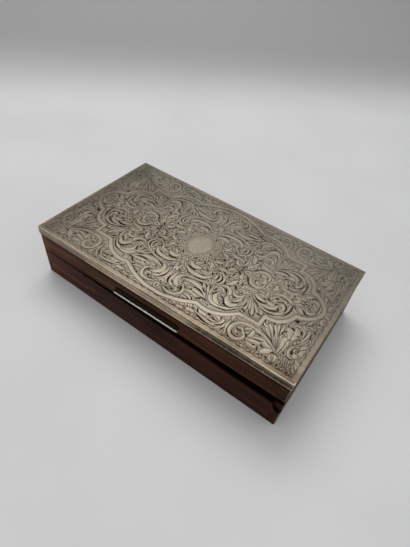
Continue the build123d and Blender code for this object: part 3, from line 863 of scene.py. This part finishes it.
def draw(plate):
    """The whole quarter. A stroke covers what it crosses, so what lies in front is drawn later."""
    for half, slant, *numbers in HATCHED:
        plate.hatch(through(places(numbers)), half, slant)
    flowers(plate)
    ribbons(plate, FRONT_EDGE)
    deep_cuts(plate, FRONT_EDGE_CUTS)
    corner(plate)
    for leaves, cuts in (
        (END_LOBE, END_LOBE_CUTS),
        (MIDDLE_SCROLL, MIDDLE_SCROLL_CUTS),
        (PALMETTE, PALMETTE_CUTS),
        (SHOULDER, SHOULDER_CUTS),
        (CRESCENTS, CRESCENT_CUTS),
        (ROUND_SCROLL, ROUND_SCROLL_CUTS),
    ):
        ribbons(plate, leaves)
        deep_cuts(plate, cuts)
    ribbons(plate, STEP_FAN, 0.3, 0.8, 0.8)
    deep_cuts(plate, STEP_FAN_CUTS)
    ribbons(plate, FRONT_SCROLLS)
    deep_cuts(plate, FRONT_SCROLL_CUTS)
    strap(plate)
    cartouche(plate)
    fill(plate, 7)
    shade(plate)
    # The small leaves and the shading touch the strap and the cartouche, so these are drawn again
    strap(plate)
    cartouche(plate)
    border(plate)


# Finishes

SILVER = (0.43, 0.375, 0.29, 1)
FOLDED_SILVER = (0.87, 0.7, 0.52, 1)
THUMB_SILVER = (0.9, 0.84, 0.78, 1)
BRASS = (0.55, 0.36, 0.13, 1)
STAIN = (0.02, 0.0165, 0.0145, 1)
FOLDED_STAIN = (0.02, 0.017, 0.015, 1)
# the thumb piece's dark back: tarnish and painted shade
THUMB_STAIN_AND_SHADE = (0.022, 0.012, 0.007, 1)

# Wood tones: the light, the dark and the red of each
LID_TONES = ((0.08, 0.031, 0.014, 1), (0.027, 0.0115, 0.0062, 1), (0.1, 0.033, 0.014, 1))
BASE_TONES = ((0.068, 0.023, 0.0155, 1), (0.026, 0.0095, 0.0072, 1), (0.1, 0.028, 0.015, 1))
CEDAR_TONES = ((0.42, 0.2, 0.1, 1), (0.26, 0.105, 0.05, 1), (0.4, 0.15, 0.08, 1))
PORE = (0.008, 0.004, 0.003, 1)
# the colour of painted shade in the gap, the chip, the nick and below the skirt
PAINTED_SHADE_DARK = (0.005, 0.003, 0.0022, 1)
# the colour of the painted highlight and reflection at the wood's right
HIGHLIGHT_WOOD = (0.26, 0.15, 0.11, 1)
LEFT_SHEEN = (1.58, 1.74, 1.78, 1)  # painted sheen: the left half is paler and greyer, by these factors
END_FADE = (1.33, 1.12, 1.04, 1)  # and its end redder

# Depths in metres, and the old wood's reflection
SCRATCH_DEPTH, PORE_DEPTH = 0.00003, 0.00008
OLD_SHEEN = 0.03

# Where a mask fades in: downwards at the base's rim, outwards at the right face and at the front face
BASE_RIM = (0.0242, 0.0241)
RIGHT_FACE, FRONT_FACE = (0.1037, 0.1044), (-0.0573, -0.058)
NICK_X, NICK_Z, NICK_HALF = -60.4, 23.4, 1.8  # the nick in the base's front, painted as a dark spot of shade, in millimetres

FINISH = {"Color": "Color", "Roughness": "Float", "Height": "Float"}


def make_patina():
    """Old silver or brass: where it is dark, how rough it is and its fine marks."""
    sockets = {"Place": "Vector", "Tarnish": "Float", "Silver": "Color", "Stain": "Color"}
    tree, given, made = new_group("aged_silver", {**sockets, "Patches": "Float"}, FINISH)
    place = given["Place"]
    cloud = noise(tree, place, 28.0, 4.0, 0.55)
    fine = noise(tree, place, 420.0, 3.0, 0.6)
    scratch = noise(tree, stretched(tree, place, (90, 1500, 900), (0, 0, 0.5)), 1.0, 2.0)
    patch = cloud.ramp(0.42, 0.7) * given["Patches"]
    cool = noise(tree, place, 45.0, 2.0).ramp(0.55, 0.72, 0.0, 0.2)
    bright = blend(tree, cool, given["Silver"], (0.3, 0.3, 0.33, 1))
    warm = blend(tree, patch, bright, (0.24, 0.19, 0.135, 1))
    grain = fine.ramp(0.3, 0.7, -0.07, 0.07)
    dark = (given["Tarnish"] + patch * 0.18 + grain).clamped()
    colour = blend(tree, dark, warm, given["Stain"])
    rough = dark * 0.3 + patch * 0.12 + scratch.ramp(0.35, 0.65, 0.36, 0.44)
    height = scratch * 0.35 + fine * 0.65
    give(tree, made, {"Color": colour, "Roughness": rough, "Height": height})
    return tree


def make_grain():
    """Polished wood: colour, roughness and pores, the grain running along X, and painted shade where it is
    given.
    """
    sockets = {"Place": "Vector", "Light": "Color", "Dark": "Color", "Red": "Color", "Painted shade": "Float"}
    tree, given, made = new_group("wood_grain", sockets, FINISH)
    place = given["Place"]
    wander = noise(tree, stretched(tree, place, (9, 22, 22)), 1.0)
    line = noise(tree, stretched(tree, place, (14, 420, 420)), 1.0, 3.0, 0.6, 0.6)
    wide = noise(tree, stretched(tree, place, (7, 95, 95)), 1.0, 4.0, 0.6, 1.2)
    pores = noise(tree, stretched(tree, place, (260, 2600, 2600)), 1.0, 2.0).ramp(0.6, 0.72)
    colour = blend(tree, wide.ramp(0.36, 0.64), given["Dark"], given["Light"])
    colour = blend(tree, wander.ramp(0.5, 0.72, 0, 0.7), colour, given["Red"])
    colour = blend(tree, line.ramp(0.52, 0.66, 0, 0.5), colour, given["Dark"])
    colour = blend(tree, pores * 0.5, colour, PORE)
    # painted shade: the wood goes dark where the given mask says
    colour = blend(tree, given["Painted shade"], colour, PAINTED_SHADE_DARK)
    rough = wander.ramp(0.3, 0.7, 0.3, 0.46) + pores * 0.2
    rough = (rough + given["Painted shade"] * 0.5).clamped()
    height = line * 0.4 - pores * 0.6
    give(tree, made, {"Color": colour, "Roughness": rough, "Height": height})
    return tree


def lid_level(x, y, z):
    """The height of a place on the lid, in metres, as if the lid were not warped."""
    steepness = LID_WARP / BOX_LENGTH / (HINGE_Y - FRONT_Y) / MM
    return z - (x - LEFT_X * MM) * (HINGE_Y * MM - y) * steepness


def fade_and_painted_reflection(tree, place, tarnish):
    """The engraving's tarnish, with less difference between dark and light at the back and the two ends.
    These changes by place are partly tarnish and partly painted reflection, where the plate reflects less or
    more light.
    """
    x, y, _ = parts_of(tree, place)
    front = y.ramp(-0.034, -0.048, 0.0, 0.17) * x.ramp(-0.085, -0.07) * x.ramp(-0.015, -0.045)
    right = x.ramp(0.03, 0.055, 0.0, 0.15) * x.ramp(0.093, 0.08)
    for share, aim in (
        (y.ramp(-0.02, 0.035, -0.13, 0.28), 0.42),  # less contrast at the back, more at the front
        (x.ramp(-0.1, -0.02, 0.45, 0.0), 0.7),  # grey towards the left
        (x.ramp(-0.085, -0.1, 0.0, 0.3), 0.85),  # and darker at its end
        (front + right, 0.08),  # brighter in two places: painted reflection
        (x.ramp(0.07, 0.1, 0.0, 0.27), 0.66),  # grey at the right end
    ):
        tarnish = tarnish + share * (aim - tarnish)
    return tarnish


def skirt_tarnish_and_highlights(tree, place, tarnish):
    """The skirt's tarnish: dark along its right, its left foot and its back, with painted highlights on the
    bead in places.
    """
    x, y, z = parts_of(tree, place)
    uneven = x + noise(tree, place, 30.0).ramp(0.3, 0.7, -0.006, 0.006)
    level = lid_level(x, y, z)
    below_bead = level.ramp(0.0462, 0.0459)
    bead = level.ramp(0.0467, 0.0464) * level.ramp(0.0450, 0.0456)
    right = uneven.ramp(0.022, 0.042, 0.0, 0.48) * below_bead
    left_foot = uneven.ramp(-0.042, -0.06) * level.ramp(0.042, 0.0405, 0.2, 0.56) * below_bead
    middle = uneven.ramp(-0.03, 0.01, 0.0, 0.27) * uneven.ramp(0.078, 0.066)
    # painted highlights: the bead brighter on the left and towards the right end
    highlight_left = uneven.ramp(-0.088, -0.07, 0.0, -0.16) * uneven.ramp(-0.035, -0.055)
    highlight_right = x.ramp(0.08, 0.1, 0.0, -0.16)
    behind = y.ramp(0.0575, 0.0585, 0.0, 0.75)
    end_bead = x.ramp(0.1034, 0.1042, 0.0, 0.55) * level.ramp(0.0451, 0.0455)
    end_side = x.ramp(0.1040, 0.1045, 0.0, -0.4) * level.ramp(0.0454, 0.0450)
    end = (end_bead + end_side) * y.ramp(-0.0575, -0.056)
    for added in (right, left_foot, (middle + (highlight_left + highlight_right)) * bead, behind, end):
        tarnish = (added + tarnish).clamped()
    return tarnish


def thumb_tarnish_and_shade(tree, place, _):
    """The thumb piece's tarnish and painted shade: a bright lip, and a back behind it painted dark, tarnished
    and in shade.
    """
    level = lid_level(*parts_of(tree, place)) + noise(tree, place, 700.0, 2.0) * 0.0006
    return level.ramp(0.0288, 0.0294, 0.0, 1.08)


def tinted(tree, place, colour):
    """The engraved silver's colour: a little cooler towards the back, browner along the front edge."""
    x, y, _ = parts_of(tree, place)
    tint = blend(tree, y.ramp(-0.02, 0.05), (1.12, 1.12, 1.135, 1), (1.08, 1.13, 1.2, 1))
    colour = blend(tree, 1.0, colour, tint, "MULTIPLY")
    edge = y.ramp(-0.048, -0.053) * x.ramp(0.0, 0.045)
    return blend(tree, edge, colour, (0.8, 0.74, 0.68, 1), "MULTIPLY")


def metal(name, patina, tarnish, colour=SILVER, patches=0.3, stain=STAIN, wear_and_shade=None, tint=None):
    """An aged metal. Its tarnish is a number or an attribute's name, which a given function may change by
    place, with tarnish, painted shade and painted highlights; tint changes the colour.
    """
    material, tree, surface, place = new_material(name)
    if isinstance(tarnish, str):
        tarnish = Value(add(tree, "ShaderNodeAttribute", attribute_name=tarnish).outputs["Fac"])
    if wear_and_shade:
        tarnish = wear_and_shade(tree, place, tarnish)
    inputs = {"Place": place, "Tarnish": tarnish, "Silver": colour, "Stain": stain, "Patches": patches}
    aged = add(tree, "ShaderNodeGroup", inputs, node_tree=patina).outputs
    colour = tint(tree, place, aged["Color"]) if tint else aged["Color"]
    finish_surface(tree, surface, colour, aged, SCRATCH_DEPTH, 0.5)
    surface.inputs["Metallic"].default_value = 1.0
    return material


def finish_surface(tree, surface, colour, made, depth, strength):
    """Gives a surface its colour, and the roughness and the bumps that a group made."""
    bumps = {"Height": made["Height"], "Distance": depth, "Strength": strength}
    normal = add(tree, "ShaderNodeBump", bumps).outputs["Normal"]
    give(tree, surface, {"Base Color": colour, "Roughness": made["Roughness"], "Normal": normal})


def rim_shade(tree, place):
    """Where painted shade darkens the wood: the base's rim, chip and nick, the lid's underside and below the
    skirt.
    """
    x, y, z = parts_of(tree, place)
    _, _, up = parts_of(tree, add(tree, "ShaderNodeTexCoord").outputs["Normal"])
    # painted shade in the gap: the base's rim top and the lid's underside, lighter towards the left
    top = up.ramp(0.2, 0.5) * z.ramp(0.0165, 0.0185) * z.ramp(0.027, 0.026)
    under = up.ramp(-0.75, -0.95) * z.ramp(0.022, 0.023)
    dark = (top + under) * x.ramp(-0.08, -0.045, 0.15, 1.0)
    # painted shadow on the base's front below the gap, painted shade in the chip and the nick, painted shadow
    # below the skirt
    edge = x.ramp(0.03, 0.07, 0.2, 0.85) * z.ramp(0.0207, 0.0232) * z.ramp(*BASE_RIM)
    chip = up.ramp(0.02, 0.15) * x.ramp(0.09, 0.094) * z.ramp(0.014, 0.016)
    chip = chip * z.ramp(*BASE_RIM, 0.0, 0.85)
    across = (x - NICK_X * MM) * (1000 / NICK_HALF)
    above = (z - NICK_Z * MM) * (1000 / NICK_HALF)
    nick = (across * across + above * above).ramp(1.3, 0.4) * 0.8
    shadow_below_skirt = lid_level(x, y, z).ramp(0.0370, 0.0388) * x.ramp(0.0, 0.04, 0.25, 0.75)
    for mark in (edge, chip, nick, shadow_below_skirt):
        dark = dark.at_least(mark)
    return dark


def wood(name, grain, tones, sideways, sheen_and_shade):
    """A wood finish, its grain along X or sideways along Y. Old wood has a sheen, and painted shade at its
    rims.
    """
    material, tree, surface, place = new_material(name)
    along = stretched(tree, place, (1, 1, 1), (0, 0, radians(90) if sideways else 0))
    inputs = {"Place": along, "Light": tones[0], "Dark": tones[1], "Red": tones[2]}
    if sheen_and_shade:
        inputs["Painted shade"] = rim_shade(tree, place)
    cut = add(tree, "ShaderNodeGroup", inputs, node_tree=grain).outputs
    x, y, _ = parts_of(tree, place)
    # painted sheen on the left half, and the left end redder
    colour = blend(tree, x.ramp(0.015, -0.02), cut["Color"], LEFT_SHEEN, "MULTIPLY")
    colour = blend(tree, x.ramp(-0.05, -0.1), colour, END_FADE, "MULTIPLY")
    # painted highlight down the front right corner, and painted reflection over the right face
    corner_highlight = x.ramp(*RIGHT_FACE) * y.ramp(*FRONT_FACE) * 0.7
    painted_highlight = corner_highlight.at_least(x.ramp(*RIGHT_FACE, 0.0, 0.12))
    colour = blend(tree, painted_highlight, colour, HIGHLIGHT_WOOD)
    finish_surface(tree, surface, colour, cut, PORE_DEPTH, 0.35)
    surface.inputs["Specular IOR Level"].default_value = OLD_SHEEN if sheen_and_shade else 0.0
    return material


# The engraved top

SWAY, SWAY_MARGIN = 0.28, 6.0  # the engraver's lines wander a little, and keep still towards the edges
MIDDLE_SHIFT, MIDDLE_RADIUS = (-2.1, 2.6), 15.0  # the cartouche sits off centre
TOP_SUNK = 0.02  # keeps the silver inside the plate's solid


def engraved_top(quarter):
    """The engraved silver in four quarters, each a mirror of the first."""
    rows, cols = quarter.gx.shape
    index = np.arange(rows * cols).reshape(rows, cols)
    a, b, c, d = index[:-1, :-1], index[:-1, 1:], index[1:, 1:], index[1:, :-1]
    quads = np.stack([a, b, c, d], -1).reshape(-1, 4)
    to_edge = np.minimum(PLATE_X - quarter.gx, PLATE_Y + quarter.gy)
    sway = SWAY * np.clip(to_edge / SWAY_MARGIN, 0, 1)
    pieces = []
    for side_x, end in ((1, "right"), (-1, "left")):
        for side_y, row in ((1, "front"), (-1, "back")):
            x, y = side_x * quarter.gx, side_y * quarter.gy
            middle = np.exp(-(x**2 + y**2) / MIDDLE_RADIUS**2)
            x = x + sway * np.sin(y / 6.1 + 0.7) * np.cos(x / 9.3) + MIDDLE_SHIFT[0] * middle
            y = y + sway * np.sin(x / 7.7 + 1.9) * np.cos(y / 8.1) + MIDDLE_SHIFT[1] * middle
            z = PLATE_TOP + lid_rise(x, y) + quarter.height - TOP_SUNK
            points = np.stack([x, y, z], -1).reshape(-1, 3)
            faces = quads if side_x * side_y > 0 else quads[:, ::-1]
            piece = mesh_object(f"engraved_silver_{row}_{end}", points, faces.tolist())
            set_attribute(piece, "tarnish", quarter.tarnish)
            pieces.append(piece)
    return pieces


# The skirt of the plate

CORNER_STEPS, SHARPEST = 6, 0.02
SPACING = 6.0
CORNER_REACH, CORNER_WEAR_AND_HIGHLIGHT = 0.6, 0.05  # the corners are kept bright, worn by hands and with a painted highlight along them
MILLING_INSET, MILLING_DROP, MILLING_STOP = 0.07, 3.45, 1.6


def perimeter(inset):
    """Points round the plate at an inset from its outer faces, counter-clockwise from above."""
    radius = max(CORNER_ROUND - inset, SHARPEST)
    out = []
    for sx, sy, start in ((1, -1, -90), (1, 1, 0), (-1, 1, 90), (-1, -1, 180)):
        centre = np.array([sx * (PLATE_X - CORNER_ROUND), sy * (PLATE_Y - CORNER_ROUND)])
        angles = [radians(start + 90 * i / CORNER_STEPS) for i in range(CORNER_STEPS + 1)]
        arc = [centre + radius * np.array([cos(a), sin(a)]) for a in angles]
        if out:
            out += between_points(out[-1], arc[0])
        out += arc
    return np.array(out + between_points(out[-1], out[0]))


def between_points(a, b):
    """Points between two others, about evenly spaced, without the two."""
    count = max(1, round(np.hypot(*(b - a)) / SPACING))
    return [a + (b - a) * i / count for i in range(1, count)]


def skirt_profile():
    """The skirt's section from the top inward edge down: inset, drop and tarnish."""
    top = [(BEAD + 0.1, 0.06, 0.3), (BEAD - 0.02, 0.05, 0.14)]
    radius, middle = 0.22, 0.25
    bead = [
        (radius - radius * cos(radians(a)), middle - radius * sin(radians(a)), 0.29 if a > 20 else 0.5)
        for a in (115, 90, 65, 40, 10, -20, -45)
    ]
    upper_reeds = [(0.18, 0.5, 0.8), (0.22, 0.6, 0.95), (0.2, 0.8, 0.8), (0.05, 1.0, 0.35)]
    upper_reeds += [(0.03, 1.25, 0.12), (0.03, 1.9, 0.12), (0.06, 2.1, 0.4), (0.18, 2.3, 0.85)]
    milled = [(0.18, 2.42, 0.7), (0.09, 2.6, 0.36), (0.09, 4.3, 0.46), (0.18, 4.42, 0.8)]
    lower_reeds = [(0.18, 4.56, 0.8), (0.05, 4.72, 0.35)]
    foot = [(0.03, 4.95, 0.16), (0.03, 6.1, 0.16), (0.05, 6.35, 0.2), (0.11, 6.5, 0.4)]
    under = [(0.2, 6.6, 0.9), (0.5, 6.6, 1.0), (0.5, 5.4, 1.0)]
    return top + bead + upper_reeds + milled + lower_reeds + foot + under


def plate_skirt():
    """The silver folded down round the lid: a bead, reeded lines and a plain foot."""
    rings, stain = [], []
    for inset, drop, dark in skirt_profile():
        ring = perimeter(inset)
        z = PLATE_TOP + lid_rise(ring[:, 0], ring[:, 1]) - drop
        rings.append(np.column_stack([ring, z]))
        at_corner = (np.abs(ring) > (PLATE_X - CORNER_REACH, PLATE_Y - CORNER_REACH)).all(1)
        stain.append(np.where(at_corner, CORNER_WEAR_AND_HIGHLIGHT, dark))
    count = len(rings[0])
    faces = []
    for start in range(0, count * (len(rings) - 1), count):
        for i in range(count):
            following = (i + 1) % count
            faces.append((start + i, start + count + i, start + count + following, start + following))
    piece = mesh_object("silver_skirt", np.vstack(rings), faces, crease=35)
    set_attribute(piece, "tarnish", np.concatenate(stain))
    return piece


def milling_tree():
    """Geometry nodes for the milled ticks: one slanted ridge at every pitch along a path."""
    sockets = {"Path": "Geometry", "Finish": "Material"}
    sockets.update({label: "Float" for label in ("Pitch", "Tick height", "Tick width", "Lean")})
    tree, given, made = new_group("milled_ticks", sockets, {"Ticks": "Geometry"}, "GeometryNodeTree")

    def step(kind, inputs=None, **settings):
        return add(tree, kind, inputs, **settings).outputs[0]

    spacing = {"Curve": given["Path"], "Length": given["Pitch"]}
    spaced = step("GeometryNodeResampleCurve", spacing, mode="LENGTH")
    tangent = step("GeometryNodeInputTangent")
    level = step("ShaderNodeVectorMath", {0: tangent, 1: (1, 1, 0)}, operation="MULTIPLY")
    turn = step("FunctionNodeAlignRotationToVector", {"Vector": level}, axis="X", pivot_axis="Z")
    half = given["Tick height"] * 0.5
    shift = half * given["Lean"]
    low = step("ShaderNodeCombineXYZ", {"X": shift * -1.0, "Z": half * -1.0})
    high = step("ShaderNodeCombineXYZ", {"X": shift, "Z": half})
    line = step("GeometryNodeCurvePrimitiveLine", {"Start": low, "End": high})
    circle = {"Resolution": 8, "Radius": given["Tick width"] * 0.5}
    ring = step("GeometryNodeCurvePrimitiveCircle", circle, mode="RADIUS")
    tube = step("GeometryNodeCurveToMesh", {"Curve": line, "Profile Curve": ring, "Fill Caps": True})
    flat = step("GeometryNodeTransform", {"Geometry": tube, "Scale": (1, 0.3, 1)})
    ticks = step("GeometryNodeInstanceOnPoints", {"Points": spaced, "Instance": flat, "Rotation": turn})
    real = step("GeometryNodeRealizeInstances", {"Geometry": ticks})
    done = step("GeometryNodeSetMaterial", {"Geometry": real, "Material": given["Finish"]})
    tree.links.new(done, made.inputs[0])
    return tree


def path_object(name, lines):
    """Open paths through points in millimetres."""
    path = bpy.data.curves.new(name, "CURVE")
    path.dimensions = "3D"
    for points in lines:
        spline = path.splines.new("POLY")
        spline.points.add(len(points) - 1)
        weights = np.ones(len(points))
        spline.points.foreach_set("co", np.column_stack([np.array(points) * MM, weights]).ravel())
    return new_object(name, path)


def grown(name, source, tree, values):
    """The plain mesh that geometry nodes make on a source, which is then removed."""
    modifier = source.modifiers.new(name, "NODES")
    modifier.node_group = tree
    for item in tree.interface.items_tree:
        if item.in_out == "INPUT" and item.name in values:
            modifier[item.identifier] = values[item.name]
    bpy.context.view_layer.update()
    evaluated = source.evaluated_get(bpy.context.evaluated_depsgraph_get())
    mesh = bpy.data.meshes.new_from_object(evaluated)
    mesh.name = name
    bpy.data.objects.remove(source)
    return new_object(name, mesh)


def skirt_milling(finish):
    """The milled band of the skirt, along its four straight sides."""
    x, y = PLATE_X - MILLING_INSET, PLATE_Y - MILLING_INSET
    stop = MILLING_STOP
    sides = (
        ((stop - x, -y), (x - stop, -y)),
        ((x, stop - y), (x, y - stop)),
        ((x - stop, y), (stop - x, y)),
        ((-x, y - stop), (-x, stop - y)),
    )
    lines = [[(px, py, PLATE_TOP + lid_rise(px, py) - MILLING_DROP) for px, py in side] for side in sides]
    values = {"Finish": finish, "Pitch": 0.0009, "Tick height": 0.0016, "Tick width": 0.0004, "Lean": 0.3}
    piece = grown("skirt_milling", path_object("milling_path", lines), milling_tree(), values)
    smooth(piece.data)
    return piece


# The room, in metres

FAR_X, FAR_Y = -0.645, 0.764  # the direction from the camera to the wall
FLOOR_START, SWEEP_START, SWEEP_RADIUS = -1.6, 0.43, 0.4
WALL_TOP, HALF_WIDTH = 1.8, 2.2
PALE_LOW, PALE_HIGH = (0.775, 0.785, 0.803, 1), (0.815, 0.826, 0.845, 1)
# painted shade: the sweep and the wall greyer, as where less light reaches
SWEEP_SHADE, WALL_SHADE = (0.4, 0.405, 0.41, 1), (0.18, 0.18, 0.182, 1)

# Name, place, width and power of each lamp
LAMPS = (
    ("overhead", (-0.53, 0.55, 1.05), 1.0, 5.9),
    ("wide", (-0.56, 0.53, 1.2), 1.5, 7.3),
)
LAMP_COLOUR = (1.0, 0.985, 0.96)
ROOM_COLOUR = (0.75, 0.745, 0.735, 1)

CAMERA_PLACE = (0.11276, -0.17809, 0.24406)
CAMERA_RIGHT, CAMERA_AHEAD = (0.808, 0.5835, 0.0821), (-0.352, 0.5897, -0.7269)
SENSOR, LENS = 36.0, 26.198


def cyclorama():
    """A pale floor that sweeps up behind the box into a darker wall, a painted shade where less light
    reaches.
    """
    bend = [radians(a) for a in range(6, 91, 6)]
    profile = [(FLOOR_START, 0.0), (SWEEP_START, 0.0)]
    profile += [(SWEEP_START + SWEEP_RADIUS * sin(a), SWEEP_RADIUS - SWEEP_RADIUS * cos(a)) for a in bend]
    profile += [(SWEEP_START + SWEEP_RADIUS, WALL_TOP)]
    far, side = np.array([FAR_X, FAR_Y]), np.array([FAR_Y, -FAR_X])
    points = []
    for along, z in profile:
        for across in (-HALF_WIDTH, HALF_WIDTH):
            points.append((*(along * far + across * side) / MM, z / MM))
    starts = range(0, len(points) - 2, 2)
    floor = mesh_object("floor", points, [(i + 2, i + 3, i + 1, i) for i in starts])
    material, tree, surface, place = new_material("pale_paper")
    onto = {0: place, 1: (FAR_X, FAR_Y, 0)}
    distance = Value(add(tree, "ShaderNodeVectorMath", onto, operation="DOT_PRODUCT").outputs["Value"])
    colour = blend(tree, noise(tree, place, 9.0).ramp(0.3, 0.7), PALE_LOW, PALE_HIGH)
    # painted shade on the sweep and up the wall
    colour = blend(tree, distance.ramp(0.31, 0.55), colour, SWEEP_SHADE)
    colour = blend(tree, parts_of(tree, place)[2].ramp(0.12, 0.5), colour, WALL_SHADE)
    give(tree, surface, {"Base Color": colour, "Roughness": 0.6})
    finish_with(material, floor)


def light_the_room():
    """Soft studio light: two wide lamps behind and above, and a room brighter above than at its walls."""
    for name, place, width, power in LAMPS:
        lamp = bpy.data.lights.new(name, "AREA")
        lamp.shape, lamp.size, lamp.energy, lamp.color = "DISK", width, power, LAMP_COLOUR
        made = new_object(name, lamp)
        made.location = place
        made.rotation_euler = (-Vector(place)).to_track_quat("-Z", "Y").to_euler()
    world = bpy.data.worlds.new("room")
    world.use_nodes = True
    tree = world.node_tree
    _, _, up = parts_of(tree, tree.nodes.new("ShaderNodeTexCoord").outputs["Generated"])
    give(tree, tree.nodes["Background"], {"Strength": up.ramp(0.3, 0.95, 0.38, 0.95), "Color": ROOM_COLOUR})
    bpy.context.scene.world = world


def place_camera():
    """The camera of the photograph: it leans a little to one side."""
    camera = bpy.data.cameras.new("camera")
    camera.sensor_width, camera.lens = SENSOR, LENS
    camera.clip_start, camera.clip_end = 0.01, 20.0
    right, ahead = Vector(CAMERA_RIGHT).normalized(), Vector(CAMERA_AHEAD).normalized()
    up = right.cross(ahead).normalized()
    right = ahead.cross(up)
    turn = Matrix((right, up, -ahead)).transposed().to_4x4()
    made = new_object("camera", camera)
    made.matrix_world = Matrix.Translation(CAMERA_PLACE) @ turn
    bpy.context.scene.camera = made


# Putting it together

LENGTH_LINING = ("lining_floor", "lining_front", "lining_back", "lid_lining_panel")

# Each wood finish: its tones, whether its grain lies along Y, whether it is aged, with a sheen and painted
# shade at its rims, and its boards
WOODS = (
    ("lid_wood", LID_TONES, False, True, ("lid_front_rail", "lid_back_rail", "lid_top_panel")),
    ("lid_end_wood", LID_TONES, True, True, ("lid_left_rail", "lid_right_rail")),
    ("base_wood", BASE_TONES, False, True, ("base_front_board", "base_back_board", "base_bottom_panel")),
    ("base_end_wood", BASE_TONES, True, True, ("base_left_board", "base_right_board")),
    ("cedar", CEDAR_TONES, False, False, LENGTH_LINING),
    ("cedar_ends", CEDAR_TONES, True, False, ("lining_left", "lining_right")),
)


def finish_wood(grain):
    """The boards and rails, each with its grain along its length."""
    for name, tones, sideways, sheen_and_shade, boards in WOODS:
        finish_with(wood(name, grain, tones, sideways, sheen_and_shade), *[nodes[board] for board in boards])


def finish_metal(patina):
    """The silver and the brass."""
    engraved = metal("engraved_silver", patina, "tarnish", wear_and_shade=fade_and_painted_reflection, tint=tinted)
    folded = metal("folded_silver", patina, "tarnish", FOLDED_SILVER, 0.2, FOLDED_STAIN, skirt_tarnish_and_highlights)
    milled = metal("milled_silver", patina, 0.3, FOLDED_SILVER, 0.2, FOLDED_STAIN, skirt_tarnish_and_highlights)
    plain = metal("plain_silver", patina, 0.3)
    thumb = metal("thumb_silver", patina, 0.0, THUMB_SILVER, 0.1, THUMB_STAIN_AND_SHADE, thumb_tarnish_and_shade)
    quarter = Quarter(PLATE_X - BEAD, PLATE_Y - BEAD)
    draw(quarter)
    top = engraved_top(quarter)
    finish_with(engraved, *top)
    skirt = plate_skirt()
    finish_with(folded, skirt)
    for piece in (*top, skirt, skirt_milling(milled)):
        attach(piece, "lid")
        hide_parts("cover_plate")
    finish_with(plain, nodes["cover_plate_pins"])
    finish_with(thumb, nodes["thumb_piece"], nodes["thumb_piece_pins"])
    brass = metal("old_brass", patina, 0.12, BRASS, 0.6)
    finish_with(brass, *[nodes[name] for name in nodes if "hinge" in name])


place_camera()
light_the_room()
cyclorama()
finish_wood(make_grain())
finish_metal(make_patina())

bpy.context.scene.view_settings.view_transform = "Standard"
